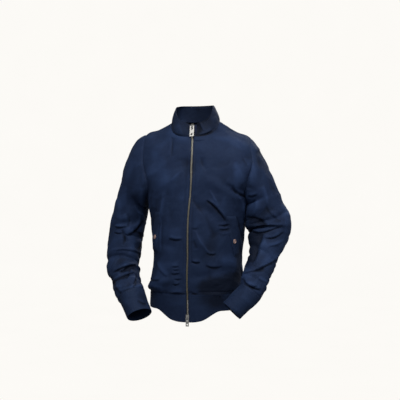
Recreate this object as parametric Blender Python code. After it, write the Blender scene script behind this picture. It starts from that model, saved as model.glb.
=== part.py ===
"""A zip-up bomber jacket, hollow and filled out as it is worn, with its sleeves bent forward.

Metres, +Z up, +X the wearer's left, -Y the front. The origin is the middle of the neck opening, level
with the top of the shoulder seams. Every cloth piece is a thin wall on one of three forms: the torso
and the collar are stacks of rounded rings, and a sleeve is a row of rings along the arm.
"""

import math
from collections import namedtuple

import bpy
import numpy as np

# Cloth
CLOTH_WALL = 0.0016
SEAM_GAP = 0.0003
FRONT_COLUMNS = 10
ARMHOLE_ROWS = 10
FRONT_SWEEP = 1.4  # how steeply a ring rises from its front to its side, and from its side to its back
BACK_SWEEP = 1.8

# One row a section of the torso, from the hem up. Heights are those of its front, side and back, and
# its depths are measured from a middle that stands off the neck's by centre_x and centre_y.
Section = namedtuple(
    "Section",
    "front_z side_z back_z half_width front_depth back_depth squareness centre_x centre_y"
    " front_shift tilt",
)
TORSO = (
    (-0.605, -0.605, -0.603, 0.157, 0.138, 0.112, 2.3, 0.004, 0.020, 0.000, 0.00),  # hem
    (-0.553, -0.553, -0.552, 0.155, 0.141, 0.112, 2.3, 0.004, 0.020, 0.000, 0.00),  # band seam
    (-0.536, -0.536, -0.534, 0.158, 0.148, 0.118, 2.3, 0.004, 0.020, 0.000, 0.00),  # cloth over the band
    (-0.490, -0.490, -0.488, 0.149, 0.147, 0.112, 2.3, 0.004, 0.020, 0.000, 0.00),
    (-0.440, -0.440, -0.438, 0.144, 0.147, 0.102, 2.3, 0.006, 0.020, 0.000, 0.00),
    (-0.387, -0.387, -0.385, 0.149, 0.147, 0.098, 2.3, 0.006, 0.020, 0.000, 0.00),  # waist
    (-0.333, -0.333, -0.331, 0.155, 0.144, 0.102, 2.3, 0.005, 0.020, 0.001, 0.00),
    (-0.282, -0.280, -0.280, 0.162, 0.139, 0.110, 2.4, 0.005, 0.020, 0.003, 0.00),
    (-0.240, -0.230, -0.228, 0.174, 0.133, 0.114, 2.5, 0.006, 0.020, 0.005, 0.01),
    (-0.195, -0.175, -0.170, 0.192, 0.130, 0.115, 2.6, 0.006, 0.020, 0.007, 0.02),  # chest
    (-0.152, -0.115, -0.110, 0.203, 0.122, 0.115, 2.6, 0.004, 0.020, 0.008, 0.04),
    (-0.108, -0.045, -0.055, 0.177, 0.112, 0.106, 2.4, 0.003, 0.018, 0.009, 0.05),  # shoulder tips
    (-0.078, -0.026, -0.020, 0.130, 0.093, 0.092, 2.2, 0.001, 0.010, 0.009, 0.04),
    (-0.052, 0.000, 0.008, 0.081, 0.073, 0.072, 2.1, -0.001, 0.000, 0.009, 0.00),  # neckline
)
HEM_DROP = 0.029  # of the hem in front, under its height at the sides
HEM_DROP_WITHIN = 0.046  # of the middle the drop is full, and it ends at the next distance
HEM_DROP_ENDS = 0.108
BAND_SEAM_LEVEL = 1.0
ARMPIT_LEVEL = 7.5
SHOULDER_LEVEL = 11.0
NECK_LEVEL = 13.0
BAND_ROWS = 4
BODY_ROWS = 15
SHOULDER_ROWS = 4

# The collar stands on the neckline. Its rows are sections too.
COLLAR = (
    (-0.052, 0.000, 0.008, 0.0810, 0.073, 0.072, 2.1, -0.001, 0.0, 0.009, 0.0),
    (-0.034, 0.018, 0.028, 0.0765, 0.070, 0.070, 2.2, -0.002, 0.0, 0.009, 0.0),
    (-0.017, 0.036, 0.046, 0.0695, 0.064, 0.067, 2.3, -0.003, 0.0, 0.009, 0.0),
    (-0.001, 0.053, 0.062, 0.0615, 0.058, 0.063, 2.5, -0.003, 0.0, 0.009, 0.0),
)
COLLAR_ROWS = 5

# Armholes: how far their front and back edges cut in from the side, in degrees round the torso.
ARMHOLE_FRONT = {"left": 28.0, "right": 42.0}
ARMHOLE_BACK = 30.0

# One row a station of a sleeve: the ring's middle, its half size across the arm and from front to back.
Station = namedtuple("Station", "x y z half_across half_depth")
SLEEVES = {
    "left": (
        (0.2270, 0.025, -0.260, 0.0530, 0.062),
        (0.2330, 0.026, -0.293, 0.0610, 0.062),
        (0.2400, 0.026, -0.328, 0.0710, 0.062),  # elbow
        (0.2410, 0.022, -0.356, 0.0660, 0.060),
        (0.2350, 0.008, -0.392, 0.0570, 0.056),
        (0.2300, -0.015, -0.427, 0.0460, 0.051),
        (0.2250, -0.036, -0.455, 0.0390, 0.047),
        (0.2170, -0.062, -0.487, 0.0385, 0.044),
        (0.2110, -0.083, -0.515, 0.0370, 0.041),
        (0.2010, -0.101, -0.541, 0.0355, 0.039),  # cuff seam
        (0.1750, -0.114, -0.568, 0.0350, 0.037),
        (0.1470, -0.127, -0.598, 0.0350, 0.036),
    ),
    "right": (
        (-0.2270, 0.022, -0.275, 0.0540, 0.062),
        (-0.2410, 0.022, -0.323, 0.0560, 0.061),
        (-0.2480, 0.020, -0.375, 0.0615, 0.060),
        (-0.2500, 0.010, -0.416, 0.0590, 0.058),  # elbow
        (-0.2485, -0.005, -0.452, 0.0545, 0.055),
        (-0.2390, -0.032, -0.490, 0.0520, 0.051),
        (-0.2150, -0.066, -0.532, 0.0460, 0.047),
        (-0.1870, -0.096, -0.567, 0.0440, 0.042),  # cuff seam
        (-0.1700, -0.112, -0.593, 0.0430, 0.038),
        (-0.1520, -0.127, -0.621, 0.0425, 0.035),
    ),
}
CAP_LEAVES = {"left": (0.70, -0.71), "right": (0.97, -0.24)}  # out and up, at the top of a sleeve's cap
UNDERARM_LEAVES = (0.66, -0.75)
CAP_SWELL = 0.35  # how much the cap also leaves the armhole along the torso's normals
CUFF_STATIONS = 2  # a sleeve's last stations are its cuff's
CAP_RINGS = 6
SLEEVE_RINGS = 21
CUFF_RINGS = 4

# The largest folds of the torso: place on the front or back, slope of the fold, and its half length,
# half width and height. A trough has a height below 0.
TorsoFold = namedtuple("TorsoFold", "face x z slope_deg half_length half_width height")
TORSO_FOLDS = (
    ("front", 0.150, -0.222, -24, 0.040, 0.012, -0.0060),
    ("front", 0.105, -0.215, -32, 0.050, 0.016, 0.0040),
    ("front", 0.085, -0.305, -42, 0.055, 0.013, -0.0050),
    ("front", 0.045, -0.395, -58, 0.040, 0.015, 0.0035),
    ("front", -0.085, -0.120, -62, 0.050, 0.020, 0.0035),
    ("front", -0.118, -0.290, 80, 0.060, 0.012, -0.0050),
    ("front", -0.060, -0.400, -10, 0.035, 0.016, -0.0040),
    ("front", -0.075, -0.515, 8, 0.060, 0.012, 0.0045),
    ("front", 0.070, -0.490, 12, 0.070, 0.016, -0.0045),
    ("back", 0.000, -0.100, 0, 0.090, 0.018, -0.0035),
    ("back", 0.110, -0.215, 35, 0.050, 0.014, -0.0060),
    ("back", -0.110, -0.215, -35, 0.050, 0.014, -0.0060),
    ("back", 0.050, -0.420, 14, 0.080, 0.016, -0.0050),
    ("back", -0.060, -0.470, -10, 0.080, 0.016, 0.0050),
    ("back", 0.030, -0.515, 4, 0.090, 0.012, -0.0040),
)

# The largest folds of the sleeves: the share of the way from armhole to cuff, the angle round the arm
# (0 outside, 90 front, 180 inside), turn of the fold in share of the way a turn, and half sizes.
SleeveFold = namedtuple("SleeveFold", "share angle twist half_angle half_share height")
CALM_TOP = 0.08  # share of the sleeve over which its folds die away at the armhole, and at the cuff
CALM_CUFF = 0.04
SLEEVE_FOLDS = {
    "left": (
        (0.26, 120, 0.10, 50, 0.030, -0.0055),
        (0.42, 60, 0.16, 60, 0.022, -0.0060),
        (0.48, 80, -0.05, 60, 0.024, 0.0060),
        (0.55, 120, 0.20, 60, 0.020, -0.0060),
        (0.70, 70, -0.25, 70, 0.022, -0.0055),
        (0.79, 80, -0.20, 70, 0.022, 0.0050),
        (0.92, 60, -0.10, 80, 0.020, -0.0040),
        (0.45, 270, 0.05, 60, 0.030, -0.0050),
        (0.90, 250, 0.00, 70, 0.022, -0.0040),
    ),
    "right": (
        (0.22, 140, 0.10, 40, 0.030, -0.0055),
        (0.42, 70, -0.18, 50, 0.026, -0.0055),
        (0.50, 140, 0.12, 45, 0.028, -0.0060),
        (0.66, 90, -0.10, 70, 0.018, 0.0045),
        (0.74, 60, 0.12, 80, 0.020, -0.0065),
        (0.82, 100, -0.08, 80, 0.018, 0.0055),
        (0.90, 80, 0.10, 90, 0.018, -0.0055),
        (0.58, 270, 0.08, 60, 0.026, -0.0055),
        (0.84, 240, -0.08, 70, 0.020, -0.0050),
    ),
}

# Slanted welts of the side pockets: the opening edge, in degrees round the torso at its two ends.
WELT_TOP_Z = {"left": -0.305, "right": -0.292}
WELT_LENGTH = 0.130
WELT_WIDTH = 0.040
WELT_EDGE_DEG = {"left": (60.0, 80.0), "right": (49.0, 62.0)}
WELT_WALL = 0.0016
WELT_ROWS = 8
WELT_COLUMNS = 3
SNAP_RADIUS = 0.0070
SNAP_HEIGHT = 0.0026
SNAP_DISH = 0.0011
SNAP_FOOT = 0.0006  # bevel at its foot, and at its rim
SNAP_RIM = 0.0008
SNAP_DISH_FROM = 0.62  # of its radius, where the dish starts and where it is at its depth
SNAP_DISH_TO = 0.52
SNAP_SHARE = 0.62  # of the welt's length, from its top
SNAP_ACROSS = 0.68  # of its width, from the opening
WELT_LIFT = 0.0013  # clear of the front, whose flat facets cut its curves

# Zip
FRONT_EDGE = 0.0034
TAPE_FROM = 0.0029
TAPE_TO = 0.0140
TAPE_WALL = 0.0010
TAPE_DEPTH = -0.0021  # of its middle behind the middle of the front's wall
CHAIN_WIDTH = 0.0052
CHAIN_WALL = 0.0026
CHAIN_DEPTH = -0.0012
CHAIN_STOP = 0.013  # from the chain's ends to the far ends of the sliders
SLIDER_WIDTH = 0.0100
SLIDER_LENGTH = 0.0180
SLIDER_FROM_END = {"top": 0.010, "bottom": -0.001}  # of the zip to the slider's far end
PLATE_WALL = 0.0018
FRONT_PLATE = 0.0011
BACK_PLATE = -0.0032
POST_WIDTH = 0.0024
POST_LENGTH = 0.0050
BRIDGE_WIDTH = 0.0030
BRIDGE_SPAN = 0.0080
BRIDGE_HOLE = 0.0032
BRIDGE_WALL = 0.0011
BRIDGE_SINK = 0.0004  # of the bridge and of the post into the plate they join
PULL_WALL = 0.0016
PULL_BAR = 0.0018
PULL_HOLE_FROM_END = 2.6  # of the hole's radius
Pull = namedtuple("Pull", "width length slot hole_radius")
PULLS = {
    "top": (0.0140, 0.0370, 0.0130, 0.0016),
    "bottom": (0.0100, 0.0280, 0.0090, 0.0022),
}
PULL_SLOT_WIDTH = 0.0046

# Looks: colour, roughness and how far it is metal.
NAVY = ((0.0146, 0.0245, 0.0620), 0.62, 0.0)
NAVY_BAND = ((0.0170, 0.0280, 0.0700), 0.60, 0.0)
TAPE_NAVY = ((0.0100, 0.0150, 0.0300), 0.80, 0.0)
BRASS = ((0.36, 0.31, 0.20), 0.35, 1.0)
NICKEL = ((0.72, 0.70, 0.66), 0.30, 1.0)
COPPER = ((0.48, 0.24, 0.17), 0.32, 1.0)
SHARP_DEG = 50  # edges bent by more are shaded sharp

# How finely curves are read to space points along them.
FINE = 181
LEVELS_READ = 301
FRONT_ARC_DEG = 25
FRONT_ARC_READ = 251
LINE_LOW = 140  # of the zip's line, below the neckline and above it
LINE_HIGH = 30
CHAIN_POINTS = 49
SLIDER_POINTS = 401
SNAP_SIDES = 24
HOLE_SIDES = 16


def clear_scene():
    for thing in list(bpy.data.objects):
        bpy.data.objects.remove(thing, do_unlink=True)


def material(name, colour, roughness, metallic):
    made = bpy.data.materials.new(name)
    made.use_nodes = True
    shader = made.node_tree.nodes["Principled BSDF"]
    shader.inputs["Base Color"].default_value = (*colour, 1.0)
    shader.inputs["Roughness"].default_value = roughness
    shader.inputs["Metallic"].default_value = metallic
    return made


def add_object(name, points, faces, look):
    """An object from points and faces, turned right side out."""
    points = np.asarray(points, float)
    volume = 0.0
    for face in faces:
        for i in range(1, len(face) - 1):
            a, b, c = points[face[0]], points[face[i]], points[face[i + 1]]
            volume += float(np.dot(a, np.cross(b, c)))
    if volume < 0:
        faces = [tuple(reversed(face)) for face in faces]
    mesh = bpy.data.meshes.new(name)
    mesh.from_pydata([tuple(map(float, p)) for p in points], [], faces)
    mesh.update()
    made = bpy.data.objects.new(name, mesh)
    mesh.materials.append(material(name, *look))
    mesh.shade_smooth()
    mesh.set_sharp_from_angle(angle=math.radians(SHARP_DEG))
    bpy.context.scene.collection.objects.link(made)
    return made


def unit(v):
    return v / np.maximum(np.linalg.norm(v, axis=-1, keepdims=True), 1e-12)


def along(table, place):
    """A smooth curve through the rows of a table, read at a place counted in rows."""
    table = np.asarray(table, float)
    place = np.clip(np.asarray(place, float), 0, len(table) - 1)
    i = np.minimum(place.astype(int), len(table) - 2)
    f = (place - i)[..., None]
    padded = np.vstack([2 * table[0] - table[1], table, 2 * table[-1] - table[-2]])
    before, here, there, after = (padded[i + k] for k in range(4))
    rise = (there - before) / 2
    fall = (after - here) / 2
    return (
        here * (2 * f**3 - 3 * f**2 + 1)
        + rise * (f**3 - 2 * f**2 + f)
        + there * (3 * f**2 - 2 * f**3)
        + fall * (f**3 - f**2)
    )


def ring_point(table, level, turn):
    """A point of a stack of rounded rings. turn is 0 in front, 90 at the wearer's left, 180 behind."""
    row = Section(*np.moveaxis(along(table, level), -1, 0))
    s, c = np.sin(np.radians(turn)), np.cos(np.radians(turn))
    flat = np.abs(c)
    power = 2 / row.squareness
    x = row.centre_x + row.half_width * np.sign(s) * np.abs(s) ** power
    x = x + row.front_shift * np.maximum(c, 0)
    y = row.centre_y + np.where(c > 0, -row.front_depth, row.back_depth) * flat**power
    z_front = row.front_z + (row.side_z - row.front_z) * (1 - flat) ** FRONT_SWEEP
    z_back = row.side_z + (row.back_z - row.side_z) * (1 - (1 - flat) ** BACK_SWEEP)
    return np.stack([x, y, np.where(c > 0, z_front, z_back) - row.tilt * x], -1)


def normals(surface, level, turn):
    """Outward normals of a surface of level and turn."""
    step_turn, step_level = 1.5, 0.06
    across = surface(level, turn + step_turn) - surface(level, turn - step_turn)
    up = surface(level + step_level, turn) - surface(level - step_level, turn)
    return unit(np.cross(across, up))


def torso_plain(level, turn):
    """The torso without folds. In front its hem drops below the sides."""
    place = ring_point(TORSO, level, turn)
    off = (np.abs(place[..., 0]) - HEM_DROP_WITHIN) / (HEM_DROP_ENDS - HEM_DROP_WITHIN)
    off = np.clip(off, 0, 1)
    drop = (1 - off * off * (3 - 2 * off)) * (np.cos(np.radians(turn)) > 0)
    place[..., 2] -= HEM_DROP * drop * np.clip(1 - np.asarray(level) / BAND_SEAM_LEVEL, 0, 1)
    return place


def torso(level, turn):
    """The torso's surface with its folds."""
    plain = torso_plain(level, turn)
    out = normals(torso_plain, level, turn)
    rise = np.zeros(plain.shape[:-1])
    for fold in map(TorsoFold._make, TORSO_FOLDS):
        lies = np.clip(0.5 + (-1 if fold.face == "front" else 1) * out[..., 1], 0, 1)
        dx, dz = plain[..., 0] - fold.x, plain[..., 2] - fold.z
        a = math.radians(fold.slope_deg)
        length = (dx * math.cos(a) + dz * math.sin(a)) / fold.half_length
        width = (dz * math.cos(a) - dx * math.sin(a)) / fold.half_width
        rise += fold.height * lies * np.exp(-(length**2) - width**2)
    return plain + out * rise[..., None]


def collar(level, turn):
    return ring_point(COLLAR, level, turn)


def turn_at(surface, level, distance):
    """How far round the surface lies at a distance from the middle of the front."""
    turns = np.linspace(0, FRONT_ARC_DEG, FRONT_ARC_READ)
    where = surface(np.full(turns.shape, level), turns)
    steps = np.linalg.norm(np.diff(where, axis=0), axis=1)
    return float(np.interp(distance, np.concatenate([[0], np.cumsum(steps)]), turns))


def spaced_turns(surface, level, first, last, count):
    """Turns of count + 1 points, evenly apart along the surface."""
    turns = np.linspace(first, last, FINE)
    where = surface(np.full(turns.shape, level), turns)
    run = np.concatenate([[0], np.cumsum(np.linalg.norm(np.diff(where, axis=0), axis=1))])
    return np.interp(np.linspace(0, run[-1], count + 1), run, turns)


def armhole_share(level):
    """How deep the armhole cuts in at a level, from 0 at its ends to 1."""
    share = (level - ARMPIT_LEVEL) / (SHOULDER_LEVEL - ARMPIT_LEVEL)
    return math.sqrt(max(0.0, 1 - (2 * min(max(share, 0), 1) - 1) ** 2))


def body_levels():
    """Rows of a front or the back, from the band seam up to the neckline."""
    low = np.linspace(BAND_SEAM_LEVEL, ARMPIT_LEVEL, BODY_ROWS + 1)
    share = (1 - np.cos(np.linspace(0, math.pi, ARMHOLE_ROWS + 1))) / 2
    arm = ARMPIT_LEVEL + (SHOULDER_LEVEL - ARMPIT_LEVEL) * share
    top = np.linspace(SHOULDER_LEVEL, NECK_LEVEL, SHOULDER_ROWS + 1)
    return np.concatenate([low, arm[1:], top[1:]])


ARM_FIRST = BODY_ROWS
ARM_LAST = BODY_ROWS + ARMHOLE_ROWS


def panel_turns(surface, levels, first, last, count):
    return np.array(
        [spaced_turns(surface, level, a, b, count) for level, a, b in zip(levels, first, last)]
    )


def front_turns(side, levels):
    sign = 1 if side == "left" else -1
    first = [sign * turn_at(torso, level, FRONT_EDGE) for level in levels]
    last = [sign * (90 - ARMHOLE_FRONT[side] * armhole_share(level)) for level in levels]
    return panel_turns(torso, levels, first, last, FRONT_COLUMNS)


def back_turns(levels):
    edge = [90 + ARMHOLE_BACK * armhole_share(level) for level in levels]
    return panel_turns(torso, levels, edge, [360 - e for e in edge], 2 * FRONT_COLUMNS)


def inset(points, edges, gap=SEAM_GAP / 2):
    """Draws the named edges of a grid of points back from their seam lines."""
    points = points.copy()
    source = points.copy()
    if "first_row" in edges:
        points[0] += gap * unit(source[1] - source[0])
    if "last_row" in edges:
        points[-1] += gap * unit(source[-2] - source[-1])
    if "first_column" in edges:
        points[:, 0] += gap * unit(source[:, 1] - source[:, 0])
    if "last_column" in edges:
        points[:, -1] += gap * unit(source[:, -2] - source[:, -1])
    return points


def wall(name, points, out, look, thick=CLOTH_WALL, closed=False):
    """A cloth wall of even thickness on both sides of a grid of points.

    closed joins the grid's last column to its first.
    """
    rows, columns = points.shape[:2]
    middle = points.reshape(-1, 3)
    half = (out * thick / 2).reshape(-1, 3)
    count = len(middle)
    faces = []
    across = columns if closed else columns - 1
    for i in range(rows - 1):
        for j in range(across):
            k = (j + 1) % columns
            a, b = i * columns + j, i * columns + k
            c, d = b + columns, a + columns
            if np.linalg.norm(middle[a] - middle[c]) < np.linalg.norm(middle[b] - middle[d]):
                halves = [(a, b, c), (a, c, d)]
            else:
                halves = [(a, b, d), (b, c, d)]
            for p, q, r in halves:
                faces.append((p, q, r))
                faces.append((r + count, q + count, p + count))
    rims = []
    for j in range(across):
        k = (j + 1) % columns
        rims.append((k, j))
        rims.append(((rows - 1) * columns + j, (rows - 1) * columns + k))
    if not closed:
        for i in range(rows - 1):
            rims.append((i * columns, (i + 1) * columns))
            rims.append(((i + 1) * columns + columns - 1, i * columns + columns - 1))
    for a, b in rims:
        faces.append((a, b, b + count))
        faces.append((a, b + count, a + count))
    return add_object(name, np.vstack([middle + half, middle - half]), faces, look)


# Sleeves

STATION_STEP = 0.05  # either way along a sleeve, in stations, to find its direction


def armhole_points(side):
    """Seam points of an armhole, with the torso's normals: shoulder tip, front, armpit, back."""
    sign = 1 if side == "left" else -1
    levels = body_levels()[ARM_FIRST : ARM_LAST + 1]
    front = np.array([sign * (90 - ARMHOLE_FRONT[side] * armhole_share(level)) for level in levels])
    back = np.array([sign * (90 + ARMHOLE_BACK * armhole_share(level)) for level in levels])
    level = np.concatenate([levels[::-1], levels[1:-1]])
    turn = np.concatenate([front[::-1], back[1:-1]])
    return torso(level, turn), normals(torso, level, turn)


def station_ring(side, place, angles):
    """The ring of a sleeve at a place counted in stations."""
    sign = 1 if side == "left" else -1
    table = SLEEVES[side]
    here = Station(*along(table, place))
    ahead = along(table, min(place + STATION_STEP, len(table) - 1))
    behind = along(table, max(place - STATION_STEP, 0))
    direction = unit(ahead[:3] - behind[:3])
    hint = unit(np.array([sign, 0.0, 1.0]))
    outer = unit(hint - direction * float(hint @ direction))
    front = sign * np.cross(direction, outer)
    a = np.radians(angles)[:, None]
    ring = np.array([here.x, here.y, here.z])
    ring = ring + outer * np.cos(a) * here.half_across + front * np.sin(a) * here.half_depth
    return ring, direction


def sleeve_grid(side):
    """All rings of a sleeve and its cuff, with the row that the cuff starts at."""
    sign = 1 if side == "left" else -1
    seam, seam_out = armhole_points(side)
    columns = len(seam)
    angles = np.arange(columns) * 360.0 / columns
    first, direction = station_ring(side, 0.0, angles)
    a = np.radians(angles)[:, None]
    out, up = CAP_LEAVES[side]
    top = np.array([out * sign, 0.0, up])
    under = np.array([UNDERARM_LEAVES[0] * sign, 0.0, UNDERARM_LEAVES[1]])
    leave = unit(top * (1 + np.cos(a)) / 2 + under * (1 - np.cos(a)) / 2)
    leave = unit(leave + CAP_SWELL * seam_out * (1 - np.cos(a)) / 2)
    reach = np.linalg.norm(first - seam, axis=1, keepdims=True)
    rings = []
    for f in np.linspace(0, 1, CAP_RINGS + 1)[:-1]:
        rings.append(
            seam * (2 * f**3 - 3 * f**2 + 1)
            + leave * reach * (f**3 - 2 * f**2 + f)
            + first * (3 * f**2 - 2 * f**3)
            + direction * reach * (f**3 - f**2)
        )
    stations = len(SLEEVES[side]) - 1
    for place in np.linspace(0, stations - CUFF_STATIONS, SLEEVE_RINGS - CAP_RINGS + 1):
        rings.append(station_ring(side, place, angles)[0])
    cuff_row = len(rings) - 1
    for place in np.linspace(stations - CUFF_STATIONS, stations, CUFF_RINGS + 1)[1:]:
        rings.append(station_ring(side, place, angles)[0])
    return np.array(rings), angles, cuff_row


def grid_normals(grid):
    """Outward normals of rings whose last column joins the first."""
    across = np.roll(grid, -1, axis=1) - np.roll(grid, 1, axis=1)
    down = np.empty_like(grid)
    down[1:-1] = grid[2:] - grid[:-2]
    down[0] = grid[1] - grid[0]
    down[-1] = grid[-1] - grid[-2]
    out = unit(np.cross(across, down))
    away = grid - grid.mean(axis=1, keepdims=True)
    return out if float((out * away).sum()) > 0 else -out


def sleeve_rows(side):
    """Rings of a sleeve with its folds, their normals and the cuff's first row."""
    grid, angles, cuff_row = sleeve_grid(side)
    out = grid_normals(grid)
    share = np.minimum(np.arange(len(grid)) / cuff_row, 1.0)[:, None]
    turn = angles[None, :]
    calm = np.clip(share / CALM_TOP, 0, 1) * np.clip((1 - share) / CALM_CUFF, 0, 1)
    rise = np.zeros(grid.shape[:2])
    for fold in map(SleeveFold._make, SLEEVE_FOLDS[side]):
        off = (turn - fold.angle + 180) % 360 - 180
        along_arm = (share - fold.share - fold.twist * off / 360) / fold.half_share
        rise += fold.height * np.exp(-((off / fold.half_angle) ** 2) - along_arm**2)
    grid = grid + out * (rise * calm)[..., None]
    out = grid_normals(grid)
    _, torso_out = armhole_points(side)
    out[0] = unit(out[0] + torso_out)
    return grid, out, cuff_row


def make_sleeve(side):
    grid, out, cuff_row = sleeve_rows(side)
    sleeve = inset(grid[: cuff_row + 1], ("first_row", "last_row"))
    wall(f"sleeve_{side}", sleeve, out[: cuff_row + 1], NAVY, closed=True)
    cuff = inset(grid[cuff_row:], ("first_row",))
    wall(f"cuff_{side}", cuff, out[cuff_row:], NAVY_BAND, closed=True)


# Torso


def armhole_normals(side):
    """Normals along an armhole, shared by the torso and the sleeve, from the armpit up."""
    _, out, _ = sleeve_rows(side)
    ring = out[0]
    front = ring[: ARMHOLE_ROWS + 1][::-1]
    back = np.concatenate([ring[ARMHOLE_ROWS:], ring[:1]])
    return front, back


def neck_normals(turn):
    """Normals along the neckline, shared by the torso and the collar."""
    level = np.full(turn.shape, NECK_LEVEL)
    zero = np.zeros(turn.shape)
    return unit(normals(torso, level, turn) + normals(collar, zero, turn))


def make_front(side):
    levels = body_levels()
    turns = front_turns(side, levels)
    level = np.repeat(levels[:, None], turns.shape[1], axis=1)
    grid, out = torso(level, turns), normals(torso, level, turns)
    out[ARM_FIRST : ARM_LAST + 1, -1] = armhole_normals(side)[0]
    out[-1] = neck_normals(turns[-1])
    grid = inset(grid, ("first_row", "last_row", "last_column"))
    wall(f"front_{side}", grid, out, NAVY)


def make_back():
    levels = body_levels()
    turns = back_turns(levels)
    level = np.repeat(levels[:, None], turns.shape[1], axis=1)
    grid, out = torso(level, turns), normals(torso, level, turns)
    out[ARM_FIRST : ARM_LAST + 1, 0] = armhole_normals("left")[1]
    out[ARM_FIRST : ARM_LAST + 1, -1] = armhole_normals("right")[1]
    out[-1] = neck_normals(turns[-1])
    grid = inset(grid, ("first_row", "last_row", "first_column", "last_column"))
    wall("back", grid, out, NAVY)


def band_levels():
    return np.linspace(0, BAND_SEAM_LEVEL, BAND_ROWS + 1)


def make_band(name, turns, edges):
    level = np.repeat(band_levels()[:, None], turns.shape[1], axis=1)
    grid = inset(torso(level, turns), ("last_row", *edges))
    wall(name, grid, normals(torso, level, turns), NAVY_BAND)


def make_bands():
    for side in ("left", "right"):
        make_band(f"band_front_{side}", front_turns(side, band_levels()), ("last_column",))
    make_band("band_back", back_turns(band_levels()), ("first_column", "last_column"))


def neck_turns():
    """Turns round the neckline, from the left front edge round the back to the right front edge."""
    level = [NECK_LEVEL]
    left = front_turns("left", level)[0]
    back = back_turns(level)[0]
    right = front_turns("right", level)[0]
    return np.concatenate([left, back[1:-1], 360 + right[::-1]])


def collar_grid():
    """Points and normals of the collar, its first row on the neckline."""
    base = neck_turns()
    levels = np.linspace(0, len(COLLAR) - 1, COLLAR_ROWS + 1)
    rows = []
    for level in levels:
        edge = turn_at(collar, level, FRONT_EDGE)
        share = (base - base[0]) / (base[-1] - base[0])
        rows.append(edge + (360 - 2 * edge) * share)
    turns = np.array(rows)
    turns[0] = base
    level = np.repeat(levels[:, None], turns.shape[1], axis=1)
    grid, out = collar(level, turns), normals(collar, level, turns)
    grid[0] = torso(np.full(base.shape, NECK_LEVEL), base)
    out[0] = neck_normals(base)
    return grid, out


def make_collar():
    grid, out = collar_grid()
    wall("collar", inset(grid, ("first_row",)), out, NAVY)


# Pockets


def level_at(z):
    """The level at which the torso's side has a height."""
    levels = np.linspace(0, ARMPIT_LEVEL, LEVELS_READ)
    return float(np.interp(z, torso_plain(levels, np.full(LEVELS_READ, 90.0))[:, 2], levels))


def welt_grid(side):
    """Points of a pocket welt on the front's outer face, rows from its top, first column at its opening."""
    sign = 1 if side == "left" else -1
    top = WELT_TOP_Z[side]
    levels = np.linspace(level_at(top), level_at(top - WELT_LENGTH), WELT_ROWS + 1)
    edge = np.linspace(*WELT_EDGE_DEG[side], WELT_ROWS + 1)
    turns = []
    for level, last in zip(levels, edge):
        fine = np.linspace(last, 0, FINE)
        where = torso(np.full(FINE, level), sign * fine)
        run = np.concatenate([[0], np.cumsum(np.linalg.norm(np.diff(where, axis=0), axis=1))])
        turns.append(sign * np.interp(np.linspace(0, WELT_WIDTH, WELT_COLUMNS + 1), run, fine))
    turns = np.array(turns)
    level = np.repeat(levels[:, None], WELT_COLUMNS + 1, axis=1)
    out = normals(torso, level, turns)
    lift = CLOTH_WALL / 2 + WELT_LIFT + WELT_WALL / 2
    return torso(level, turns) + out * lift, out


def turned_disc(profile, count):
    """A solid of revolution about +Z, closed at both ends of its profile."""
    points = [(0.0, 0.0, profile[0][1])]
    for radius, height in profile:
        for i in range(count):
            a = math.tau * i / count
            points.append((radius * math.cos(a), radius * math.sin(a), height))
    points.append((0.0, 0.0, profile[-1][1]))
    faces = []
    for i in range(count):
        k = (i + 1) % count
        faces.append((0, 1 + k, 1 + i))
        for ring in range(len(profile) - 1):
            a = 1 + ring * count
            faces.append((a + i, a + k, a + count + k, a + count + i))
        last = 1 + (len(profile) - 1) * count
        faces.append((last + i, last + k, len(points) - 1))
    return points, faces


def stand(made, at, out, up):
    """Turns and places an object modelled with +X across, +Y up the cloth and +Z out of it."""
    across = unit(np.cross(up, out))
    upward = np.cross(out, across)
    points = np.array([v.co for v in made.data.vertices]) @ np.stack([across, upward, out])
    made.data.vertices.foreach_set("co", points.ravel())
    made.data.update()
    made.location = tuple(map(float, at))


def make_pocket(side):
    grid, out = welt_grid(side)
    wall(f"pocket_welt_{side}", grid, out, NAVY_BAND, thick=WELT_WALL)
    place = SNAP_SHARE * WELT_ROWS
    row = along(grid.reshape(len(grid), -1), place).reshape(-1, 3)
    lean = along(out.reshape(len(out), -1), place).reshape(-1, 3)
    middle = along(row, SNAP_ACROSS * WELT_COLUMNS)
    facing = unit(along(lean, SNAP_ACROSS * WELT_COLUMNS))
    r, h = SNAP_RADIUS, SNAP_HEIGHT
    profile = (
        (r - SNAP_FOOT, 0.0),
        (r, SNAP_FOOT),
        (r, h - SNAP_RIM),
        (r - SNAP_RIM, h),
        (r * SNAP_DISH_FROM, h),
        (r * SNAP_DISH_TO, h - SNAP_DISH),
    )
    base = middle + facing * (WELT_WALL / 2 + 2 * SEAM_GAP)
    snap = add_object(f"snap_{side}", *turned_disc(profile, SNAP_SIDES), COPPER)
    stand(snap, base, facing, (0, 0, 1))


# Zip


def zip_line(count):
    """Points and normals down the middle of the front, from the hem to the collar's top edge."""
    low = np.linspace(0, NECK_LEVEL, LINE_LOW)
    high = np.linspace(0, len(COLLAR) - 1, LINE_HIGH)[1:]
    points = np.vstack([torso(low, np.zeros(low.shape)), collar(high, np.zeros(high.shape))])
    run = np.concatenate([[0], np.cumsum(np.linalg.norm(np.diff(points, axis=0), axis=1))])
    even = np.linspace(0, run[-1], count)
    line = np.stack([np.interp(even, run, points[:, i]) for i in range(3)], -1)
    tangent = unit(np.gradient(line, axis=0))
    out = unit(np.cross([1.0, 0.0, 0.0], tangent))
    return line, tangent, out, even


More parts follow.
